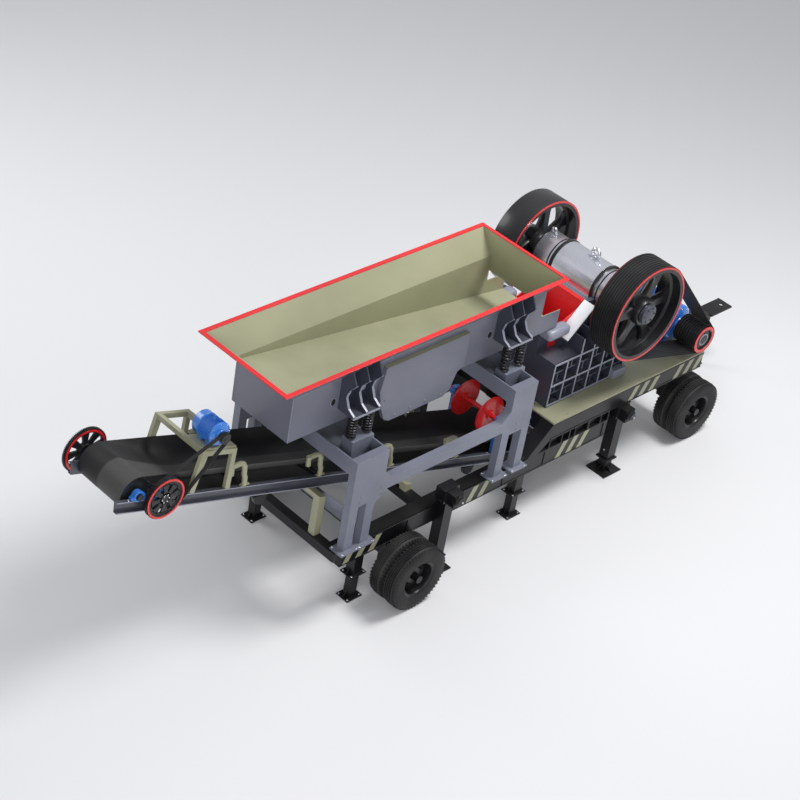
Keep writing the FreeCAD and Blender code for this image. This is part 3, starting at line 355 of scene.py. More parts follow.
class Shape:
    """Gathers closed solids of one piece, in place."""

    def __init__(self):
        self.mesh = bmesh.new()

    def loops(self, rings, capped=True):
        """A skin over rings of points, each with the same count."""
        made = [[self.mesh.verts.new(point) for point in ring] for ring in rings]
        count = len(made[0])
        following = made[1:] if capped else made[1:] + made[:1]
        for first, second in zip(made, following):
            for step in range(count):
                after = (step + 1) % count
                self.mesh.faces.new((first[step], first[after], second[after], second[step]))
        if capped:
            self.mesh.faces.new(made[0][::-1])
            self.mesh.faces.new(made[-1])
        return self

    def block(self, low, high):
        xs, ys, zs = zip(low, high)
        return self.rib([(ys[0], zs[0]), (ys[1], zs[0]), (ys[1], zs[1]), (ys[0], zs[1])], *xs)

    def blocks(self, low, high):
        """A block on each side of the middle plane, its Y given as distances from that plane."""
        for _, side in SIDES:
            y0, y1 = across(side, low[1], high[1])
            self.block((low[0], y0, low[2]), (high[0], y1, high[2]))
        return self

    def slab(self, outline, y0, y1):
        """A solid drawn in the XZ plane."""
        return self.loops([[(x, y, z) for x, z in outline] for y in (y0, y1)])

    def rib(self, outline, x0, x1):
        """A solid drawn in the YZ plane."""
        return self.loops([[(x, y, z) for y, z in outline] for x in (x0, x1)])

    def turn(self, outline, centre, steps=72):
        """A ring about a Y axis, from a closed outline of radius and Y."""
        return self.loops([[(centre[0] + radius * out, y, centre[1] + radius * rise) for radius,
                            y in outline]
                           for out, rise in circle(1.0, steps)], capped=False)

    def sleeve(self, inner, outer, y0, y1, centre, steps=96):
        """A plain ring about a Y axis."""
        return self.turn([(inner, y0), (outer, y0), (outer, y1), (inner, y1)], centre, steps)

    def rod(self, start, end, radius, sides=14):
        """A round bar between two points."""
        start, end = Vector(start), Vector(end)
        turned = (end - start).to_track_quat("Z", "Y").to_matrix()
        return self.loops([[point + turned @ Vector((*pair, 0)) for pair in circle(radius, sides)]
                           for point in (start, end)])

    def pipe(self, route, radius, sides=12):
        """A round tube along a route, mitred at its corners."""
        route = [Vector(point) for point in route]
        rings, side = [], None
        for index, point in enumerate(route):
            before = (point - route[index - 1] if index else route[1] - point).normalized()
            after = (route[index + 1] - point).normalized() if index < len(route) - 1 else before
            way = (before + after).normalized()
            side = side or way.orthogonal().normalized()
            side = (side - way * side.dot(way)).normalized()
            up = way.cross(side)
            wide = radius / max(0.5, way.dot(before))
            rings.append([point + side * out + up * rise for out, rise in circle(wide, sides)])
        return self.loops(rings)

    def hoop(self, centre, radius, wire, steps=20, sides=8):
        """A closed round ring of wire about an X axis, such as a lifting eye."""
        turned = Vector((1, 0, 0)).to_track_quat("Z", "Y").to_matrix()
        return self.loops([[Vector(centre) + turned @ (Vector((*spoke, 0)) * (radius + out) + Vector((0,
                0, rise)))
                            for out, rise in circle(wire, sides)] for spoke in circle(1.0,
                                    steps)], capped=False)

    def data(self, name):
        bmesh.ops.recalc_face_normals(self.mesh, faces=self.mesh.faces)
        data = bpy.data.meshes.new(name)
        self.mesh.to_mesh(data)
        self.mesh.free()
        return data

    def finish(self, name, body, slot, finish=None, replaces=(), bevel=0.0):
        """Close the mesh, give it its finish and let it ride on its body."""
        bmesh.ops.remove_doubles(self.mesh, verts=self.mesh.verts, dist=1e-5)
        settle(name, self.data(name), body, slot, finish, replaces, bevel)


def settle(name, data, body, slot, finish=None, replaces=(), bevel=0.0):
    piece = bpy.data.objects.new(name, data)
    bpy.context.scene.collection.objects.link(piece)
    data.materials.clear()
    data.materials.append(FINISHES[finish or slot])
    if bevel:
        edge = piece.modifiers.new("edges", "BEVEL")
        edge.width, edge.segments, edge.limit_method, edge.angle_limit = bevel, 2, "ANGLE", math.radians(40)
    data.shade_smooth()
    data.set_sharp_from_angle(angle=math.radians(35))
    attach(piece, body)
    if replaces:
        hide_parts(*replaces)


class Rule(Tree):
    """A Geometry Nodes tree with named inputs, ended by Realize Instances and Set Material."""

    def __init__(self, name, **inputs):
        self.tree = bpy.data.node_groups.new(name, "GeometryNodeTree")
        self.sockets = {}
        for label, kind in (("Geometry", "Geometry"), *inputs.items(), ("Finish", "Material")):
            socket = self.tree.interface.new_socket(label, in_out="INPUT",
                                                    socket_type="NodeSocket" + kind)
            self.sockets[label] = socket.identifier
        self.tree.interface.new_socket("Geometry", in_out="OUTPUT", socket_type="NodeSocketGeometry")
        self.given = self.tree.nodes.new("NodeGroupInput").outputs

    def product(self, first, second):
        return self.node("ShaderNodeMath", {0: first, 1: second}, operation="MULTIPLY")[0]

    def copies(self, points, item, **turned):
        return self.node("GeometryNodeInstanceOnPoints",
                         {"Points": points, "Instance": item, **turned})[0]

    def close(self, shape):
        real = self.node("GeometryNodeRealizeInstances", {"Geometry": shape})[0]
        dressed = self.node("GeometryNodeSetMaterial",
                            {"Geometry": real, "Material": self.given["Finish"]})[0]
        self.node("NodeGroupOutput", {0: dressed})
        return self

    def make(self, name, source, values, body, slot, finish=None, replaces=()):
        """Run the tree on a mesh and settle the plain mesh that comes out."""
        seed = bpy.data.objects.new(name + "_seed", source)
        bpy.context.scene.collection.objects.link(seed)
        step = seed.modifiers.new("rule", "NODES")
        step.node_group = self.tree
        for label, value in {**values, "Finish": FINISHES[finish or slot]}.items():
            step[self.sockets[label]] = value
        graph = bpy.context.evaluated_depsgraph_get()
        data = bpy.data.meshes.new_from_object(seed.evaluated_get(graph))
        seed.modifiers.remove(step)
        bpy.data.objects.remove(seed)
        data.name = name
        closed = bmesh.new()
        closed.from_mesh(data)
        bmesh.ops.recalc_face_normals(closed, faces=closed.faces)
        closed.to_mesh(data)
        closed.free()
        settle(name, data, body, slot, finish, replaces)


def ring_rule():
    """Copies of the given item, evenly turned about a Y axis, then moved to their centre."""
    rule = Rule("ring_of_copies", Count="Int", Centre="Vector")
    line = rule.node("GeometryNodeMeshLine", {"Count": rule.given["Count"], "Offset": (0, 0, 0)})[0]
    step = rule.node("ShaderNodeMath", {0: TURN, 1: rule.given["Count"]}, operation="DIVIDE")[0]
    angle = rule.product(step, rule.node("GeometryNodeInputIndex")[0])
    turned = rule.node("ShaderNodeCombineXYZ", {1: angle})[0]
    copies = rule.copies(line, rule.given["Geometry"], Rotation=turned)
    return rule.close(rule.node("GeometryNodeTransform", {"Geometry": copies,
                                                          "Translation": rule.given["Centre"]})[0])


def bolt_rule():
    """A hexagon head with its washer on every place, turned to face along an axis."""
    rule = Rule("bolt_heads", Radius="Float", Facing="Vector")
    radius = rule.given["Radius"]
    thick, wide, flat = (rule.product(radius, share) for share in (0.9, 1.45, 0.3))
    head = rule.node("GeometryNodeMeshCylinder", {"Vertices": 6, "Radius": radius, "Depth": thick})[0]
    washer = rule.node("GeometryNodeMeshCylinder", {"Vertices": 12, "Radius": wide, "Depth": flat})[0]
    lift = rule.node("ShaderNodeCombineXYZ", {2: flat})[0]
    head = rule.node("GeometryNodeTransform", {"Geometry": head, "Translation": lift})[0]
    both = rule.node("GeometryNodeJoinGeometry", {0: head})[0]
    rule.tree.links.new(washer, both.node.inputs[0])
    return rule.close(rule.copies(rule.given["Geometry"], both, Rotation=rule.given["Facing"]))


def coil_rule():
    """A coil of round wire standing on every place."""
    rule = Rule("coils", Turns="Float", Radius="Float", Rise="Float", Wire="Float")
    radius = rule.given["Radius"]
    spiral = rule.node("GeometryNodeCurveSpiral", {
        "Resolution": 20, "Rotations": rule.given["Turns"], "Start Radius": radius, "End Radius": radius,
        "Height": rule.given["Rise"]})[0]
    wire = rule.node("GeometryNodeCurvePrimitiveCircle",
                     {"Resolution": 9, "Radius": rule.given["Wire"]})[0]
    coil = rule.node("GeometryNodeCurveToMesh",
                     {"Curve": spiral, "Profile Curve": wire, "Fill Caps": True})[0]
    return rule.close(rule.copies(rule.given["Geometry"], coil))


RULES = {}
FACING = {"-y": (math.pi / 2, 0, 0), "+y": (-math.pi / 2, 0, 0), "+z": (0, 0, 0)}


def points_mesh(name, places):
    data = bpy.data.meshes.new(name + "_places")
    data.from_pydata([tuple(place) for place in places], [], [])
    return data


def ring(name, item, count, centre, body, slot):
    values = {"Count": count, "Centre": (centre[0], 0, centre[1])}
    RULES["ring"].make(name, item.data("item"), values, body, slot)


def bolt_ring(name, reach, y0, y1, radius, count, centre, body, slot):
    """Bolt heads round a Y axis at one reach from it."""
    ring(name, Shape().rod((reach, y0, 0), (reach, y1, 0), radius, 6), count, centre, body, slot)


def bolts(name, places, way, radius, slot="pulley_dark"):
    RULES["bolt"].make(name, points_mesh(name, places), {"Radius": radius, "Facing": FACING[way]},
                       "plant", slot)


def side_bolts(name, places, radius, slot="pulley_dark"):
    """Bolts facing outward on the near and the far side."""
    bolts(name + "_near", [(x, -y, z) for x, y, z in places], "-y", radius, slot)
    bolts(name + "_far", places, "+y", radius, slot)


def band(shape, wheels, thick, y0, y1, steps=40):
    """A closed belt round two wheels on Y axes, each given as x, z and radius."""
    (x1, z1, r1), (x2, z2, r2) = wheels
    lean = math.atan2(z2 - z1, x2 - x1)
    meet = math.acos((r1 - r2) / math.hypot(x2 - x1, z2 - z1))
    rings = []
    for x, z, radius, start, sweep in ((x2, z2, r2, lean - meet, 2 * meet),
                                       (x1, z1, r1, lean + meet, TURN - 2 * meet)):
        for step in range(steps + 1):
            angle = start + sweep * step / steps
            rings.append([(x + size * math.cos(angle), y, z + size * math.sin(angle))
                          for size, y in ((radius, y0), (radius + thick, y0), (radius + thick, y1),
                                          (radius, y1))])
    shape.loops(rings, capped=False)


def strands(name, node, wheels, count, start, pitch, share, gap, steps):
    """V-belt strands side by side; each wheel is given by its node and the radius the strands run on."""
    shape = Shape()
    run = [(*wheel_axis(wheel), radius) for wheel, radius in wheels]
    for index in range(count):
        place = start + pitch * (index + gap)
        band(shape, run, 0.011, place, place + pitch * share, steps)
    shape.finish(name, "plant", "belt_rubber", replaces=(node,))


def grooved(radius, y0, y1, grooves, depth, inner):
    """Outline of a rim with V-grooves in its outer face."""
    pitch = (y1 - y0) / grooves
    outline = [(inner, y0), (radius, y0)]
    for index in range(grooves):
        start = y0 + index * pitch
        outline += [(radius - drop, start + pitch * share)
                    for drop, share in ((0, 0.14), (depth, 0.36), (depth, 0.64), (0, 0.86))]
    return outline + [(radius, y1), (inner, y1)]


class PLANT_OT_finishes(bpy.types.Operator):
    """Give every kept node of the frame its finish"""
    bl_idname = "plant.finishes"
    bl_label = "Finishes"

    def execute(self, context):
        make_finishes(context.scene.plant_colours)
        RULES.update(ring=ring_rule(), bolt=bolt_rule(), coil=coil_rule())
        slots = {part["node"]: part["material_slot"] for part in frame["record"]["subparts"]}
        slots.update(trough_floor="lining_olive", conveyor_rail_near="rail_slate",
                     conveyor_rail_far="rail_slate")
        for name, node in frame["nodes"].items():
            node.data.materials.clear()
            node.data.materials.append(FINISHES[slots[name]])
        return {"FINISHED"}


class PLANT_OT_wheels(bpy.types.Operator):
    """Twin road wheels with treaded tyres, rims and lugs"""
    bl_idname = "plant.wheels"
    bl_label = "Road wheels"

    def execute(self, context):
        gap, lug = 0.03, 0.011
        for spot in ("near_left", "far_left", "near_right", "far_right"):
            node, body = "wheel_" + spot, "wheels_" + spot
            low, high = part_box(node)
            centre, radius = wheel_axis(node), half_length(node)
            side = -1 if low.y < 0 else 1
            inner, outer = min(abs(low.y), abs(high.y)) + 0.06, max(abs(low.y), abs(high.y))
            wide = (outer - inner - gap) / 2
            tyres, rims, tread = Shape(), Shape(), Shape()
            for start in (inner, inner + wide + gap):
                self.tyre(tyres, side, start, wide, radius, centre)
                self.rim(rims, side, start, start + wide, centre)
                for edge, way in ((start + 0.012, 1), (start + wide - 0.012, -1)):
                    y0, y1 = across(side, edge, edge + way * 0.05)
                    tread.block((radius - 0.05, y0, -lug), (radius - 0.008, y1, lug))
            hub = ((0.062, inner - 0.05), (0.15, inner - 0.05), (0.15, outer - 0.17),
                   (0.13, outer - 0.13),
                   (0.062, outer - 0.13))
            rims.turn([(size, side * y) for size, y in hub], centre, 40)
            tyres.finish("tyres_" + spot, body, "tyre_black", replaces=(node,))
            rims.finish("rims_" + spot, body, "pulley_dark", bevel=0.003)
            bolt_ring("lugs_" + spot, 0.205, side * (outer - 0.225), side * (outer - 0.175), 0.018, 10,
                      centre,
                      body, "pulley_dark")
            ring("tread_" + spot, tread, 54, centre, body, "tyre_black")
        return {"FINISHED"}

    def tyre(self, shape, side, start, wide, radius, centre):
        """One tyre: bead, bulged wall and five ribs round the tread."""
        wall = [(size, start + shift) for size, shift in (
            (0.285, 0.020), (0.300, 0.004), (0.345, 0), (0.350, 0), (0.362, 0), (0.367, 0), (0.430,
                    0), (0.436, 0),
            (0.455, 0.004), (radius - 0.04, 0.010), (radius - 0.018, 0.022), (radius - 0.006, 0.042),
            (radius - 0.001, 0.060))]
        crown = [(radius - drop, start + wide * (0.30 + index * 0.40 / 3) + shift) for index in range(4)
                 for drop, shift in ((0, -0.009), (0.016, -0.006), (0.016, 0.006), (0, 0.009))]
        far = [(size, 2 * start + wide - y) for size, y in reversed(wall)]
        shape.turn([(size, side * y) for size, y in wall + crown + far], centre, 96)

    def rim(self, shape, side, start, end, centre):
        """Rolled rim with a dished disc set deep in it."""
        rolled = [(0.286, 0.018), (0.262, 0.030), (0.250, 0.060)]
        lip = [(0.296, 0.006), (0.300, 0.012), (0.290, 0.028)]
        outline = [(size, start + y) for size, y in rolled] + [(size, end - y) for size,
                y in rolled[::-1] + lip]
        outline += [(size, start + y) for size, y in lip[::-1]]
        disc = [(0.145, 0.19), (0.235, 0.205), (0.252, 0.175), (0.252, 0.188), (0.238, 0.220),
                (0.145, 0.205)]
        for profile in (outline, [(size, end - y) for size, y in disc]):
            shape.turn([(size, side * y) for size, y in profile], centre, 64)


class PLANT_OT_springs(bpy.types.Operator):
    """Coil springs under the feeder's brackets"""
    bl_idname = "plant.springs"
    bl_label = "Springs"

    def execute(self, context):
        sizes = context.scene.plant_sizes
        radius, cup = 0.062, 0.05
        half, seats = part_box("springs")[1].y, Shape()
        corners = [vertex.co for vertex in frame["nodes"]["springs"].data.vertices]
        split = middle("springs").x
        for name, group in (("springs_left", [co for co in corners if co.x < split]),
                            ("springs_right", [co for co in corners if co.x >= split])):
            xs, zs = [co.x for co in group], [co.z for co in group]
            bottom, top = min(zs), max(zs)
            places = both_sides([(x, half - radius, bottom + sizes.wire)
                                 for x in (min(xs) + radius, max(xs) - radius)])
            RULES["coil"].make(name, points_mesh(name, places), {
                "Turns": float(sizes.turns), "Radius": radius, "Rise": top - bottom - 2 * sizes.wire,
                "Wire": sizes.wire}, "plant", "spring_black", replaces=("springs",))
            for x, y, _ in places:
                seats.rod((x, y, bottom), (x, y, bottom + cup), 0.040, 20)
                seats.rod((x, y, top), (x, y, top - cup), 0.040, 20)
        seats.finish("spring_cups", "plant", "spring_black", bevel=0.004)
        return {"FINISHED"}


class PLANT_OT_belt(bpy.types.Operator):
    """Conveyor belt whose carrying strand hangs as a trough between its edges"""
    bl_idname = "plant.belt"
    bl_label = "Conveyor belt"

    def execute(self, context):
        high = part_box("conveyor_belt")[1]
        drum = wheel_axis("head_drum")
        lean = math.atan2(rail_rise(-6) - rail_rise(1), 7)
        tail_x = high.x - TAIL_RADIUS - BELT_THICK
        run = (tail_x - drum[0]) / math.cos(lean)
        down, up = Vector((math.cos(lean), 0, -math.sin(lean))), Vector((math.sin(lean), 0,
                math.cos(lean)))
        start = Vector((drum[0], 0, drum[1]))
        tail = Vector((tail_x, 0, drum[1] - math.tan(lean) * (tail_x - drum[0])))
        rings = []
        stations = [run * step / 60 for step in range(61)]

        def strand(along, way):
            lift = DRUM_RADIUS + (TAIL_RADIUS - DRUM_RADIUS) * along / run
            return start + down * along + up * (way * lift)

        for along in stations:
            fall = min(1.0, max(0.0, along / 0.9)) ** 0.8 * min(1.0, max(0.0, (run - along) / 0.6))
            rings.append(self.section(strand(along, 1), up, high.y,
                                      context.scene.plant_sizes.trough * fall))
        for step in range(1, 12):
            angle = math.pi * step / 12
            spoke = up * math.cos(angle) + down * math.sin(angle)
            rings.append(self.section(tail + spoke * TAIL_RADIUS, spoke, high.y))
        for along in reversed(stations):
            rings.append(self.section(strand(along, -1), -up, high.y))
        for step in range(1, 16):
            angle = math.pi * step / 16
            spoke = -up * math.cos(angle) - down * math.sin(angle)
            rings.append(self.section(start + spoke * DRUM_RADIUS, spoke, high.y))
        # The carrying strand's lighter near half is painted light.
        Shape().loops(rings, capped=False).finish("troughed_belt", "plant", "belt_rubber",
                                                  "carrying_rubber_lit_half",
                                                  replaces=("conveyor_belt",))
        return {"FINISHED"}

    def section(self, point, outward, half, hang=0):
        """A closed cross-section of the belt: inner face one way, outer face back."""
        right = (0.25, 0.5, 0.68, 0.78, 0.86, 0.93, 0.985, 1)
        places = [-place for place in right[::-1]] + [0, *right]
        inner = [point + Vector((0, place * half, 0)) - outward * (hang * (1 - abs(place) ** 5))
                 for place in places]
        return inner + [inside + outward * BELT_THICK for inside in inner[::-1]]


class PLANT_OT_idlers(bpy.types.Operator):
    """Idler stands of bent tube, their rollers, and the tail drum"""
    bl_idname = "plant.idlers"
    bl_label = "Idlers"

    def execute(self, context):
        size = context.scene.plant_sizes.tube
        mesh = frame["nodes"]["idler_brackets"].data
        spots = sorted({round(vertex.co.x, 2) for vertex in mesh.vertices if vertex.co.y < -0.499})
        groups = [[spots[0]]]
        for spot in spots[1:]:
            if spot - groups[-1][-1] > 0.4:
                groups.append([])
            groups[-1].append(spot)
        stands, rollers = Shape(), Shape()
        bend = ((0.02, 0.475, 0.01), (0.02, 0.478, 0.14), (-0.005, 0.480, 0.20), (-0.01, 0.478, 0.335),
                (-0.02, 0.462, 0.365), (-0.05, 0.443, 0.372), (-0.20, 0.440, 0.375))
        end = ((-0.20, 0.440, 0.395), (-0.20, 0.440, 0.24))
        for group in groups:
            x = (group[0] + group[-1]) / 2
            base = rail_rise(x) + CHANNEL_DEEP
            for _, side in SIDES:
                for route in (bend, end):
                    stands.pipe([(x + dx, side * y, base + dz) for dx, y, dz in route], size)
                y = side * CHANNEL_MIDDLE
                stands.block((x - 0.06, y - 0.03, base), (x + 0.10, y + 0.03, base + 0.014))
                rollers.rod((x, side * 0.425, base + 0.02), (x, side * 0.15, base - 0.035), 0.040, 20)
            rollers.rod((x, -0.14, base - 0.04), (x, 0.14, base - 0.04), 0.040, 20)
            back = rail_rise(x + 0.5) - 0.05
            rollers.rod((x + 0.5, -ROLLER_HALF, back), (x + 0.5, ROLLER_HALF, back), 0.035, 20)
        stands.finish("idler_stands", "plant", "olive", replaces=("idler_brackets",))
        low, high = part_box("idler_rollers")
        tail = (high.x - ROLLER_RADIUS, low.z + ROLLER_RADIUS)
        rollers.sleeve(0, ROLLER_RADIUS, -ROLLER_HALF, ROLLER_HALF, tail, 48)
        rollers.rod((tail[0], -0.44, tail[1]), (tail[0], 0.44, tail[1]), 0.045, 20)
        rollers.finish("rollers", "plant", "pulley_dark", replaces=("idler_rollers",))
        return {"FINISHED"}


class PLANT_OT_head(bpy.types.Operator):
    """Toothed head gear, the belt drive's pulleys and the strands between them"""
    bl_idname = "plant.head"
    bl_label = "Head drive"

    def execute(self, context):
        centre, radius = wheel_axis("head_gear"), half_length("head_gear")
        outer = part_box("head_gear")[1].y
        inner = outer - 0.05
        gear = Shape().sleeve(0.27, radius - 0.018, inner, outer, centre)
        gear.sleeve(0.046, 0.11, inner - 0.02, outer + 0.01, centre, 48)
        gear.finish("gear_rim", "head_shaft", "pulley_dark", replaces=("head_gear",), bevel=0.003)
        root, tip = radius - 0.022, radius - 0.001
        tooth = Shape().slab([(root, -0.009), (tip, -0.0045), (tip, 0.0045), (root, 0.009)], inner, outer)
        ring("gear_teeth", tooth, context.scene.plant_sizes.teeth, centre, "head_shaft", "pulley_dark")
        spoke = Shape().slab([(0.10, -0.035), (0.28, -0.060), (0.28, 0.060), (0.10, 0.035)],
                             inner + 0.012,
                             outer - 0.012)
        ring("gear_spokes", spoke, 8, centre, "head_shaft", "pulley_dark")
        red = Shape()
        for y0, y1 in ((inner - 0.005, inner), (outer, outer + 0.005)):
            red.sleeve(radius - 0.055, radius - 0.025, y0, y1, centre)
        red.finish("gear_rings", "head_shaft", "rim_red")
        self.big_pulley(0.294)
        self.pinion()
        low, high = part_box("conveyor_motor_pulley")
        centre = wheel_axis("conveyor_motor_pulley")
        wheel = Shape().turn(grooved(0.075, low.y, low.y + 0.07, 3, 0.010, 0.0), centre, 96)
        wheel.sleeve(0.0, 0.03, low.y - 0.008, high.y, centre, 24)
        wheel.finish("conveyor_motor_pulley_wheel", "conveyor_motor_rotor", "pulley_dark",
                     replaces=("conveyor_motor_pulley",))
        low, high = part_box("conveyor_v_belts")
        strands("drive_strands", "conveyor_v_belts",
                (("jackshaft_pulley", 0.2943), ("conveyor_motor_pulley", 0.0753)),
                3, low.y, (high.y - low.y) / 3, 0.64, 0.18, 40)
        return {"FINISHED"}

    def big_pulley(self, radius):
        node, body = "jackshaft_pulley", "jackshaft"
        y0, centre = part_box(node)[0].y, wheel_axis(node)
        y1, face = y0 + 0.07, y0 + 0.012
        back = face + 0.024
        wheel = Shape().turn(grooved(radius, y0, y1, 3, 0.010, radius - 0.04), centre, 96)
        wheel.sleeve(0.0, 0.085, face, y1, centre, 40)
        wheel.sleeve(0.215, radius - 0.035, face, back, centre)
        half = [(0.06, -0.030), (0.14, -0.028), (0.225, -0.060)]
        spoke = Shape().slab(half + [(reach, -out) for reach, out in half[::-1]], face, back)
        ring(node + "_spokes", spoke, 8, centre, body, "pulley_dark")
        edge = Shape().sleeve(radius - 0.026, radius + 0.001, y0 - 0.005, y0 + 0.004, centre)
        edge.finish(node + "_red_ring", body, "rim_red")
        bolt_ring(node + "_bolts", 0.055, face, face - 0.014, 0.011, 6, centre, body, "bare_steel")
        wheel.finish(node + "_wheel", body, "pulley_dark", replaces=(node,))

    def pinion(self):
        low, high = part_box("jackshaft_pulley")
        x, z = wheel_axis("jackshaft_pulley")
        shaft = Shape().rod((x, low.y + 0.02, z), (x, high.y, z), 0.030, 24)
        shaft.rod((x, high.y - 0.05, z), (x, high.y, z), 0.034, 26)
        shaft.finish("jackshaft_bar", "jackshaft", "bare_steel")
        tooth = Shape().slab([(0.030, -0.009), (0.0455, -0.004), (0.0455, 0.004), (0.030, 0.009)],
                             high.y - 0.05, high.y)
        ring("pinion_teeth", tooth, 13, (x, z), "jackshaft", "bare_steel")


class PLANT_OT_flywheels(bpy.types.Operator):
    """Grooved near flywheel, smooth far flywheel and the main belt drive"""
    bl_idname = "plant.flywheels"
    bl_label = "Flywheels"

    def execute(self, context):
        depth = context.scene.plant_sizes.groove
        for name, side in SIDES:
            self.flywheel(side, "flywheel_" + name, depth)
        low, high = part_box("crusher_motor_pulley")
        centre, radius = wheel_axis("crusher_motor_pulley"), half_length("crusher_motor_pulley")
        body, face = "crusher_motor_rotor", low.y
        wheel = Shape().turn(grooved(radius, face + 0.006, face + 0.45, GROOVES, depth, 0.17), centre, 96)
        wheel.sleeve(0.05, 0.18, face + 0.03, face + 0.07, centre, 64)
        wheel.turn([(0.0, face + 0.008), (0.075, face + 0.008), (0.075, face + 0.10),
                    (0.0595, face + 0.10),
                    (0.0595, high.y), (0.0, high.y)], centre, 40)
        wheel.finish("motor_pulley", body, "pulley_dark", replaces=("crusher_motor_pulley",))
        edge = Shape().sleeve(0.185, radius + 0.001, face, face + 0.012, centre)
        edge.finish("motor_pulley_red_ring", body, "rim_red", bevel=0.002)
        bush = Shape().sleeve(0.080, 0.105, face + 0.012, face + 0.032, centre, 48)
        # Painted highlight: the bush takes the lighter edge grey for the light on its face.
        bush.finish("motor_pulley_bush", body, "pulley_dark", "light_edge")
        strands("main_strands", "crusher_v_belts",
                (("flywheel_near", 0.8003), ("crusher_motor_pulley", 0.2333)),
                GROOVES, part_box("flywheel_near")[0].y, 0.0448, 0.68, 0.16, 56)
        return {"FINISHED"}

    def flywheel(self, side, node, depth):
        body, centre, radius = "jaw_shaft", wheel_axis(node), half_length(node)
        y0, y1 = (corner.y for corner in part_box(node))
        inside = radius - 0.085
        rim = Shape()
        if side < 0:
            rim.turn(grooved(radius, y0, y1, GROOVES, depth, inside), centre, 144)
        else:
            rim.turn([(inside, y0), (radius - 0.004, y0), (radius, y0 + 0.010), (radius, y1 - 0.010),
                      (radius - 0.004, y1), (inside, y1)], centre, 144)
        web = (y0 + y1) / 2
        rim.turn([(radius - 0.125, web - 0.045), (radius - 0.08, web - 0.075),
                  (radius - 0.08, web + 0.075),
                  (radius - 0.125, web + 0.045)], centre, 120)
        rim.turn([(0.1455, y0 + 0.05), (0.205, y0 + 0.05), (0.225, y0 + 0.09), (0.225, y1 - 0.09),
                  (0.205, y1 - 0.05), (0.1455, y1 - 0.05)], centre, 72)
        rim.finish(node + "_rim", body, "pulley_dark", replaces=(node,))
        bend = 0.0 if side < 0 else 0.55
        ring(node + "_spokes", self.spoke(radius, web, bend), 6, centre, body, "pulley_dark")
        red = Shape().sleeve(radius - 0.030, radius + 0.0008, y0 - 0.004, y0 + 0.006, centre, 144)
        if side < 0:
            red.sleeve(radius - 0.030, radius + 0.0008, y1 - 0.006, y1 + 0.004, centre, 144)
        red.finish(node + "_red_ring", body, "rim_red")
        low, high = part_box("eccentric_shaft")
        end = min(low.y, y0) - 0.0005 if side < 0 else max(high.y, y1) + 0.0005
        cap = Shape().turn([(0.0, end - side * 0.060), (0.160, end - side * 0.060),
                            (0.160, end - side * 0.006),
                            (0.145, end), (0.0, end)], centre, 48)
        cap.finish(node + "_end_cap", body, "crusher_navy", bevel=0.004)
        bolt_ring(node + "_cap_bolts", 0.115, end - side * 0.01, end + side * 0.012, 0.012, 6, centre,
                  body,
                  "pulley_dark")

    def spoke(self, radius, web, bend):
        """A waisted spoke with rounded corners, bent sideways on the way out."""
        corners = ((-1, -0.45), (-0.75, -1), (0.75, -1), (1, -0.45), (1, 0.45), (0.75, 1), (-0.75, 1),
                   (-1, 0.45))
        hub, reach = 0.20, radius - 0.115
        rows = []
        for step in range(9):
            share = step / 8
            size = hub + (reach - hub) * share
            wide = 0.115 - 0.035 * math.sin(math.pi * share) + 0.05 * max(0.0, share - 0.85) / 0.15
            deep = 0.048 + 0.020 * (1 - share)
            angle = bend * math.sin(math.pi * share / 2) * 0.6
            out, rise = math.cos(angle), math.sin(angle)
            rows.append([(out * size - rise * wide * w, web + deep * d, rise * size + out * wide * w)
                         for w, d in corners])
        return Shape().loops(rows)


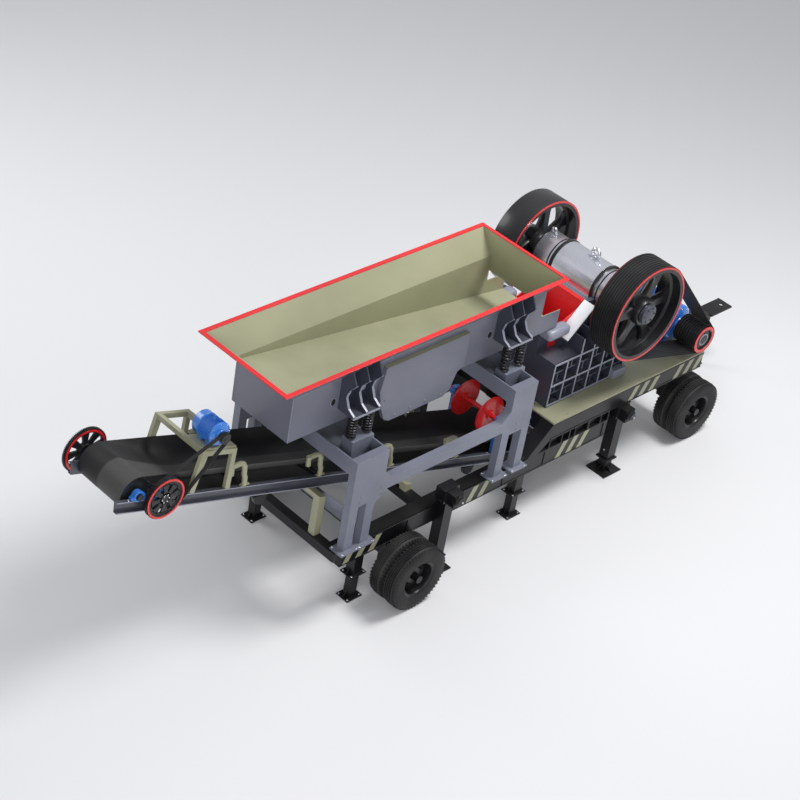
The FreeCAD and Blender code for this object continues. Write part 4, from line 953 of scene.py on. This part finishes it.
class PLANT_OT_motors(bpy.types.Operator):
    """Finned motors with end bells, fan cowl, terminal box, feet and lifting eye"""
    bl_idname = "plant.motors"
    bl_label = "Motors"

    def execute(self, context):
        for node, radius, bore, flat in (("crusher_motor", 0.300, 0.0605, True),
                                         ("conveyor_motor", 0.170, 0.0255, False)):
            self.motor(node, radius, bore, flat, context.scene.plant_sizes.fins)
        return {"FINISHED"}

    def motor(self, node, radius, bore, flat, fins):
        low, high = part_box(node)
        x, z = middle(node).x, high.z - radius
        y0, y1, centre = low.y, high.y, (x, z)
        span = y1 - y0

        def lathe(profile):
            shell.turn([(size, y0 + span * share) for size, share in profile], centre, 64)

        def box(x0, share0, z0, x1, share1, z1):
            shell.block((x0, y0 + span * share0, z0), (x1, y0 + span * share1, z1))

        shell = Shape()
        core, bell = radius * 0.90, radius * 0.93
        lathe([(0, 0.16), (core, 0.16), (core, 0.70), (0, 0.70)])
        lathe([(bore, 0), (radius * 0.42, 0), (radius * 0.46, 0.03), (radius * 0.80, 0.05),
               (radius, 0.09),
               (radius, 0.15), (bell, 0.17), (bore, 0.17)])
        lathe([(0, 0.69), (bell, 0.69), (radius, 0.71), (radius, 0.76), (radius * 0.97, 0.78),
               (radius * 0.985, 0.95), (radius * 0.93, 0.99), (radius * 0.80, 1), (0, 1)])
        size, side = radius * 0.42, x + radius * 0.86
        box(side - size * 0.5, 0.28, z - size * 0.5, side + size * 0.40, 0.55, z + size * 0.75)
        box(side + size * 0.40, 0.26, z - size * 0.55, side + size * 0.48, 0.57, z + size * 0.82)
        top, place = z + radius, y0 + span * 0.42
        shell.rod((x, place, top - radius * 0.12), (x, place, top + radius * 0.02), radius * 0.12, 12)
        for way in (-1, 1):
            if flat:
                foot = x + way * radius * 0.68
                for start in (0.20, 0.56):
                    box(foot - radius * 0.2, start, low.z, foot + radius * 0.2, start + 0.13,
                        low.z + 0.035)
                    box(foot - radius * 0.1, start + 0.02, low.z + 0.03, foot + radius * 0.06,
                        start + 0.11,
                        z - radius * 0.45)
            else:
                foot = x + way * radius * 0.62
                floor = low.z + 0.043 - math.tan(CHANNEL_LEAN) * (foot - x)
                for start in (0.22, 0.56):
                    box(foot - radius * 0.16, start, floor, foot + radius * 0.16, start + 0.14,
                        z - radius * 0.4)
        if flat:
            box(x - radius * 0.95, 0.16, low.z, x + radius * 0.95, 0.74, low.z + 0.02)
        shell.finish(node + "_shell", "plant", "motor_blue", replaces=(node,), bevel=0.004)
        eye = Shape().hoop((x, place, top + radius * 0.20), radius * 0.15, radius * 0.035)
        eye.finish(node + "_eye", "plant", "motor_blue")
        half = radius * 0.012
        fin = Shape().block((core - 0.004, y0 + span * 0.18, -half),
                            (radius * 0.985, y0 + span * 0.68, half))
        ring(node + "_fins", fin, fins, centre, "plant", "motor_blue")
        bolt_ring(node + "_bell_bolts", radius * 0.90, y0 + span * 0.10, y0 + span * 0.045,
                  radius * 0.045, 8,
                  centre, "plant", "bare_steel")


class PLANT_OT_crusher(bpy.types.Operator):
    """Bands, eyes and covers of the barrel, painted highlight strips on the rib edges, cross ribs, mouth plates
    and foot blocks
    """
    bl_idname = "plant.crusher"
    bl_label = "Crusher details"

    def execute(self, context):
        self.barrel(wheel_axis("bearing_housings"))
        low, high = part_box("crusher_side_near")
        deck, outer, plate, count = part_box("deck_plate")[1].z, abs(low.y), 0.03, 7
        xs = [low.x + index * (high.x - low.x - plate) / (count - 1) for index in range(count)]
        light, bricks = Shape(), Shape()
        # Painted highlight: light strips along the crusher's ribs and bands stand in for light on their edges.
        for level in (1.68, 2.035, 2.425):
            light.blocks((low.x, outer - 0.02, level - 0.035), (high.x, outer + 0.010, level))
        for index, x in enumerate(xs):
            top = 2.40 if index < 2 else 2.69
            light.blocks((x, outer - 0.010, deck + 0.05), (x + plate, outer + 0.008, top))
        light.finish("rib_edges", "plant", "crusher_navy", "light_edge", bevel=0.003)
        half, inner, reach = 0.012, 0.60, outer - 0.03
        for row, (bottom, top) in enumerate(((1.69, 2.00), (2.04, 2.39))):
            level = (bottom + top) / 2
            for index, (x, after) in enumerate(zip(xs, xs[1:])):
                mid = x + (xs[1] - xs[0]) / 2 + plate / 2
                bricks.blocks((x + plate, inner, level - half), (after, reach, level + half))
                z0, z1 = (level + half, top) if (index + row) % 2 == 0 else (bottom, level - half)
                bricks.blocks((mid - half, inner, z0), (mid + half, reach, z1))
        bricks.finish("cross_ribs", "plant", "crusher_navy", bevel=0.003)
        lip = Shape().block((1.13, -0.55, 2.70), (1.39, 0.55, 2.87)).blocks((1.13, 0.455, 2.70),
                (1.60, 0.66, 2.87))
        # Painted highlight: the lip takes the lighter edge grey where light catches its rounding.
        lip.finish("rounded_lip", "plant", "crusher_navy", "light_edge", bevel=0.055)
        slope = Shape()
        for _, side in SIDES:
            slope.slab([(1.548, 2.612), (2.040, 3.065), (2.052, 3.052), (1.560, 2.599)],
                       *across(side, 0.452, 0.675))
        # Painted reflection: the steel slope plates take a near-white paint in place of their bright
        # reflection.
        slope.finish("slope_plates", "plant", "bare_steel", "bright_plate", bevel=0.002)
        feet = Shape().blocks((2.615, 0.80, deck), (2.90, 0.92, deck + 0.16))
        # Painted highlight: the steel foot blocks take the lighter edge grey for the light on them.
        feet.finish("foot_blocks", "plant", "bare_steel", "light_edge", bevel=0.012)
        places = [(x, outer - 0.06, deck + 0.05) for x in (1.25, 1.42, 1.82, 2.0, 2.3, 2.45)]
        bolts("crusher_foot_bolts", both_sides(places), "+z", 0.026)
        return {"FINISHED"}

    def barrel(self, shaft):
        """Seal bands, bearing covers with their bolts, and lifting eyes."""
        dark, steel, eyes = Shape(), Shape(), Shape()
        for _, side in SIDES:
            for y, size, wide in ((0.405, 0.362, 0.05), (0.50, 0.338, 0.022), (0.80, 0.338, 0.022)):
                dark.sleeve(0.29, size, *across(side, y, y + wide), shaft)
            steel.sleeve(0.150, 0.275, *across(side, 0.80, 0.835), shaft, 72)
        dark.finish("barrel_bands", "plant", "pulley_dark", bevel=0.003)
        steel.finish("bearing_covers", "plant", "bare_steel", bevel=0.003)
        for name, side in SIDES:
            bolt_ring("bearing_bolts_" + name, 0.235, side * 0.835, side * 0.853, 0.015, 12, shaft,
                      "plant",
                      "pulley_dark")
        for y, base, size in ((-0.12, 0.345, 0.100), (-0.74, 0.325, 0.060), (0.74, 0.325, 0.060)):
            foot, wide = shaft[1] + base, 1.5 * size
            eyes.rib([(y - wide, foot - 0.02), (y + wide, foot - 0.02),
                      (y + wide / 2, foot + 0.45 * size),
                      (y - wide / 2, foot + 0.45 * size)], shaft[0] - 0.018, shaft[0] + 0.018)
            eyes.hoop((shaft[0], y, foot + 0.95 * size), 0.66 * size, 0.27 * size, 32, 10)
        eyes.finish("lifting_eyes", "plant", "bare_steel")


class PLANT_OT_chassis(bpy.types.Operator):
    """Warning bars, stiffening ribs, lugs, jack fittings and bolts of the chassis"""
    bl_idname = "plant.chassis"
    bl_label = "Chassis details"

    def execute(self, context):
        outer = abs(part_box("side_frame_near")[0].y)
        self.bars(context.scene.plant_sizes.stripe, outer)
        black = Shape()
        for x in (-2.0, -1.0, 0.0, 0.9, 2.25):
            black.blocks((x - 0.006, outer - 0.05, 0.88), (x + 0.006, outer + 0.012, 1.12))
        for level, start, end in ((0.862, -3.285, 2.345), (1.138, -3.285, 0.5), (1.332, 0.965, 4.565),
                                  (1.588, 0.965, 4.565)):
            black.blocks((start, outer - 0.02, level - 0.012), (end, outer + 0.008, level + 0.012))
        for x in (1.25, 1.55, 1.85, 2.15):
            black.blocks((x - 0.010, outer - 0.10, 1.15), (x + 0.010, outer + 0.004, 1.32))
        black.finish("rail_ribs", "plant", "chassis_black", bevel=0.003)
        self.jacks()
        self.legs()
        low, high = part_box("deck_plate")
        places = [(low.x + 0.06 + 0.30 * index, outer - 0.05, high.z) for index in range(12)]
        bolts("deck_bolts", both_sides(places), "+z", 0.014, "olive")
        return {"FINISHED"}

    def bars(self, pitch, outer):
        """Slanted bars on the outer faces of the rails, in groups along them."""
        shape, slant, wide = Shape(), 0.14, pitch * 0.46
        for start, end, (low, high) in ((-3.235, -2.455, LOW_RAIL), (-0.775, -0.225, LOW_RAIL),
                                        (1.175, 1.985, LOW_RAIL), (2.745, 3.445, HIGH_RAIL),
                                        (3.845, 4.530, HIGH_RAIL)):
            x = start
            while x + pitch * 0.5 < end:
                for _, side in SIDES:
                    shape.slab([(x, low), (x + wide, low), (x + wide + slant, high), (x + slant, high)],
                               *across(side, outer, outer + 0.004))
                x += pitch
        shape.finish("warning_bars", "plant", "olive")

    def jacks(self):
        """Crank, round gear cover, side lugs and a pin for each jack."""
        fittings, bright = Shape(), Shape()
        for x, y, top in JACKS:
            level = top - 0.115
            fittings.blocks((x - 0.175, y - 0.06, top - 0.20), (x + 0.175, y + 0.06, top - 0.17))
            fittings.blocks((x - 0.12, y - 0.12, 0.235), (x + 0.12, y + 0.12, 0.262))
            for _, side in SIDES:
                face = y + 0.24
                cover = ((0.0, face), (0.085, face), (0.095, face + 0.02), (0.060, face + 0.055),
                         (0.0, face + 0.055))
                fittings.turn([(size, side * out) for size, out in cover], (x, level), 32)
                bright.rod((x, side * (face + 0.05), level), (x, side * (face + 0.085), level), 0.016, 12)
                for near, far in ((x - 0.09, x - 0.15), (x + 0.09, x + 0.15)):
                    fittings.slab([(near, top - 0.28), (far, top - 0.23), (far, top - 0.18),
                                   (near, top - 0.18)],
                                  side * y - 0.01, side * y + 0.01)
                bright.rod((x - 0.11, side * y, 0.42), (x + 0.11, side * y, 0.42), 0.016, 12)
        fittings.finish("jack_fittings", "plant", "chassis_black", bevel=0.004)
        bright.finish("jack_pins", "plant", "bare_steel")
        side_bolts("jack_bolts", [(x + dx, y + 0.24, top - 0.115 + dz) for x, y, top in JACKS
                                  for dx in (-0.075, 0.075) for dz in (-0.08, 0.065)], 0.011)

    def legs(self):
        """Gussets and bolts of the small legs, and bolts of the feeder's feet."""
        gussets = Shape()
        for x in LEGS:
            for _, side in SIDES:
                y = side * LEG_ACROSS
                for way in (-1, 1):
                    for near, far, low, high in ((0.065, 0.125, 0.02, 0.11), (0.08, 0.135, 0.46, 0.56)):
                        gussets.slab([(x + way * near, low), (x + way * far, low),
                                      (x + way * near, high)],
                                     y - 0.006, y + 0.006)
        gussets.finish("leg_gussets", "plant", "chassis_black")
        places = [(x + dx, LEG_ACROSS + dy, z) for x in LEGS for dx in (-0.115, 0.115) for dy in (-0.09,
                0.09)
                  for z in (0.02, 0.46)]
        bolts("leg_bolts", both_sides(places), "+z", 0.013, "bare_steel")
        feet = [(x + dx, y, 1.175) for x in (-3.308, -2.995, -0.30, 0.123) for dx in (-0.055, 0.21)
                for y in (1.08, 1.285)]
        bolts("feeder_foot_bolts", both_sides(feet), "+z", 0.016, "bare_steel")


def oval(x, z, wide, tall):
    return [(x + wide * out, z + tall * rise) for out, rise in circle(1.0, 24)]


class PLANT_OT_feeder(bpy.types.Operator):
    """Edges, bosses, holes and seams of the feeder, hopper and their frame: painted highlight on edges, bosses
    and seams, and painted shade in the holes
    """
    bl_idname = "plant.feeder"
    bl_label = "Feeder details"

    def execute(self, context):
        light, dark = Shape(), Shape()
        wall, flange = abs(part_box("trough_side_near")[0].y), abs(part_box("spring_brackets")[0].y)
        for centre, level in BRACKETS:
            for _, side in SIDES:
                # Painted highlight: the rib edges, flange edge, bosses and the rings round the ports are drawn
                # in the lighter edge grey.
                for x in (centre - 0.246, centre - 0.010, centre + 0.226):
                    self.edge(light, x, level, side)
                y0, y1 = across(side, flange - 0.01, flange + 0.006)
                light.block((centre - 0.25, y0, level - 0.004), (centre + 0.25, y1, level + 0.024))
                light.slab(oval(centre + 0.13, 3.44, 0.045, 0.075),
                           *across(side, wall + 0.02, wall + 0.07))
                # Painted shade: a thin dark oval on the wall stands in for the shaded inside of each port hole.
                dark.slab(oval(centre - 0.345, 3.30, 0.040, 0.055), *across(side, wall, wall + 0.004))
                light.slab(oval(centre - 0.345, 3.30, 0.052, 0.068), *across(side, wall, wall + 0.002))
        # The bracket pieces carry painted highlight in the edge grey.
        light.finish("bracket_edges", "plant", "hopper_grey", "light_edge")
        # The dark ovals are painted shade for the port holes.
        dark.finish("port_hole_shade", "plant", "pulley_dark")
        self.seams()
        face = abs(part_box("feeder_frame_near")[0].y)
        side_bolts("leg_plate_bolts",
                   [(x, face, z) for x in (-3.20, -2.82, -0.10, 0.17) for z in (2.03, 2.14)],
                   0.014, "frame_grey")
        face = abs(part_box("exciter_housing")[0].y)
        spots = [(x, 2.66) for x in (-2.05, -1.75, -1.45, -1.15)] + [(-2.30, 3.0), (-0.98, 3.0)]
        side_bolts("cover_bolts", [(x, face, z) for x, z in spots], 0.016, "hopper_grey")
        return {"FINISHED"}

    def edge(self, shape, x, level, side):
        """A strip of painted highlight along the curved edge of a bracket's rib, from its flange past its
        waist.
        """
        waist, rise, stretch = 3.42, 0.236, 0.27 / 0.269
        curve = ((0.885, 0.042), (0.765, 0.104), (0.700, rise), (0.737, 0.37), (0.850, 0.505))
        line = [(y, level + up * (waist - level) / rise if up <= rise else waist + (up - rise) * stretch)
                for y, up in curve]
        for pair in zip(line, line[1:]):
            shape.loops([[(x + along, side * (y + out), z)
                          for along, out in ((-0.008, 0), (0.028, 0), (0.028, 0.010), (-0.008, 0.010))]
                         for y, z in pair])

    def seams(self):
        """Weld beads along the hopper's corners outside and inside, and round its end plate; the outer beads in
        the painted highlight grey.
        """
        beads, inner = Shape(), Shape()
        low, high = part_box("hopper_rim")
        left, half, top = low.x + 0.07, high.y - 0.07, low.z
        end, fold, wall = -4.02, 3.655, 0.57
        for _, side in SIDES:
            y = side * wall
            beads.pipe([(end, y, fold), (left - 0.01, side * (half + 0.012), top)], 0.007, 8)
            beads.pipe([(end, y, fold), (0.90, y, fold)], 0.006, 8)
            beads.pipe([(end, y, 2.93), (end, y, fold)], 0.006, 8)
            inner.pipe([(end + 0.012, side * 0.558, fold + 0.002),
                        (left + 0.002, side * (half - 0.002), top)],
                       0.006, 8)
        beads.pipe([(end, -wall, fold), (end, wall, fold)], 0.006, 8)
        # Painted highlight: the outer beads take the lighter edge grey for light along the hopper's corners.
        beads.finish("hopper_seams", "plant", "hopper_grey", "light_edge")
        inner.finish("lining_seams", "plant", "olive", "lining_olive")


class PLANT_OT_conveyor(bpy.types.Operator):
    """Brackets, caps and bolts along the conveyor's frame"""
    bl_idname = "plant.conveyor"
    bl_label = "Conveyor details"

    def execute(self, context):
        blue, brown, light = Shape(), Shape(), Shape()
        places = []
        for node, bore, size, y0, y1 in (("head_drum", 0.050, 0.078, 0.435, 0.515),
                                         ("jackshaft_pulley", 0.050, 0.078, 0.435, 0.515),
                                         ("disc_rotor", 0.042, 0.085, 0.425, 0.515)):
            centre = wheel_axis(node)
            for _, side in SIDES:
                blue.sleeve(bore, size, *across(side, y0, y1), centre, 32)
            places += [(x, CHANNEL_MIDDLE, rail_rise(x) + CHANNEL_DEEP) for x in (centre[0] - 0.14,
                    centre[0] + 0.14)]
        blue.finish("bearing_caps", "plant", "motor_blue", bevel=0.004)
        profile = ((-0.14, 0.005), (0.14, -0.03), (0.07, -0.15), (-0.02, -0.17), (-0.09, -0.12))
        for x in (-4.30, 0.05):
            under = rail_rise(x)
            for _, side in SIDES:
                y = side * CHANNEL_MIDDLE
                brown.slab([(x + dx, under + dz) for dx, dz in profile], y - 0.03, y + 0.03)
        brown.finish("return_brackets", "plant", "chassis_black", bevel=0.004)
        low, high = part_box("conveyor_rail_near")
        start, end, thick = rail_rise(low.x), rail_rise(high.x), 0.012
        # Painted highlight: light strips along the top and bottom edges of the side channels.
        for _, side in SIDES:
            for lift in (0.0, CHANNEL_DEEP - thick):
                light.slab([(low.x, start + lift), (high.x, end + lift), (high.x, end + lift + thick),
                            (low.x, start + lift + thick)], *across(side, 0.498, 0.506))
        # The channel strips carry painted highlight in the edge grey.
        light.finish("channel_edges", "plant", "frame_grey", "light_edge")
        bolts("block_bolts", both_sides(places), "+z", 0.014, "bare_steel")
        return {"FINISHED"}


class PLANT_OT_stage(bpy.types.Operator):
    """Pale floor, soft lights and the camera"""
    bl_idname = "plant.stage"
    bl_label = "Stage"

    def execute(self, context):
        scene, reach = context.scene, 120.0
        data = bpy.data.meshes.new("floor")
        data.from_pydata([(-reach, -reach, 0), (reach, -reach, 0), (reach, reach, 0),
                          (-reach, reach, 0)], [],
                         [(0, 1, 2, 3)])
        floor = bpy.data.objects.new("floor", data)
        scene.collection.objects.link(floor)
        finish = Finish("studio_floor")
        cloud = finish.noise(0.05)
        shade = scene.plant_colours.floor
        finish.feed("Base Color", finish.blend(cloud, tone(shade, 0.97), tone(shade, 1.02)))
        finish.feed("Roughness", 0.75 + cloud * 0.05)
        data.materials.append(finish.material)
        world = bpy.data.worlds.new("studio")
        world.use_nodes = True
        sky = world.node_tree.nodes["Background"]
        sky.inputs["Color"].default_value = (0.93, 0.95, 1.0, 1.0)
        sky.inputs["Strength"].default_value = 0.52
        scene.world = world
        scene.view_settings.view_transform = "Standard"
        for name, place, target, size, power in (
                ("key_light", (5.0, -4.0, 16.0), (0, 0, 1.5), 6.0, 2100.0),
                ("side_light", (-14.0, -12.0, 9.0), (-1, 0, 2), 8.0, 1000.0),
                ("back_light", (-6.0, 15.0, 10.0), (0, 0, 2), 8.0, 800.0)):
            lamp = bpy.data.lights.new(name, "AREA")
            lamp.shape, lamp.size, lamp.energy = "DISK", size, power
            light = bpy.data.objects.new(name, lamp)
            light.location = place
            light.rotation_mode = "QUATERNION"
            light.rotation_quaternion = (Vector(target) - Vector(place)).to_track_quat("-Z", "Y")
            scene.collection.objects.link(light)
        self.camera(scene)
        return {"FINISHED"}

    def camera(self, scene):
        lens = bpy.data.cameras.new("camera")
        lens.sensor_width, lens.lens = 36.0, 93.12
        lens.clip_start, lens.clip_end = 1.0, 400.0
        camera = bpy.data.objects.new("camera", lens)
        scene.collection.objects.link(camera)
        azimuth, elevation, roll = (math.radians(angle) for angle in (-49.777, 35.291, 10.46))
        back = Vector((math.sin(azimuth) * math.cos(elevation), -math.cos(azimuth) * math.cos(elevation),
                       math.sin(elevation)))
        right = Vector((math.cos(azimuth), math.sin(azimuth), 0))
        up = back.cross(right)
        level = right * math.cos(roll) + up * math.sin(roll)
        rise = up * math.cos(roll) - right * math.sin(roll)
        turned = Matrix((level, rise, back)).transposed().to_4x4()
        camera.matrix_world = Matrix.Translation((-19.848, -15.746, 19.44)) @ turned
        scene.camera = camera


class PLANT_PT_panel(bpy.types.Panel):
    """Sizes, colours and build steps of the plant"""
    bl_idname = "PLANT_PT_panel"
    bl_label = "Crushing plant"
    bl_space_type = "VIEW_3D"
    bl_region_type = "UI"
    bl_category = "Crushing plant"

    def draw(self, context):
        for group in (context.scene.plant_colours, context.scene.plant_sizes):
            box = self.layout.box()
            for name in group.bl_rna.properties.keys():
                if name not in ("rna_type", "name"):
                    box.prop(group, name)
        for step in STEPS:
            self.layout.operator(step.bl_idname)


STEPS = (PLANT_OT_finishes, PLANT_OT_wheels, PLANT_OT_springs, PLANT_OT_belt, PLANT_OT_idlers,
         PLANT_OT_head,
         PLANT_OT_flywheels, PLANT_OT_motors, PLANT_OT_crusher, PLANT_OT_chassis, PLANT_OT_feeder,
         PLANT_OT_conveyor, PLANT_OT_stage)
CLASSES = (PlantColours, PlantSizes, *STEPS, PLANT_PT_panel)


def register():
    for each in CLASSES:
        bpy.utils.register_class(each)
    bpy.types.Scene.plant_colours = PointerProperty(type=PlantColours)
    bpy.types.Scene.plant_sizes = PointerProperty(type=PlantSizes)


def unregister():
    del bpy.types.Scene.plant_sizes
    del bpy.types.Scene.plant_colours
    for each in reversed(CLASSES):
        bpy.utils.unregister_class(each)


def main():
    register()
    for step in STEPS:
        group, name = step.bl_idname.split(".")
        getattr(getattr(bpy.ops, group), name)()


if __name__ == "__main__":
    main()
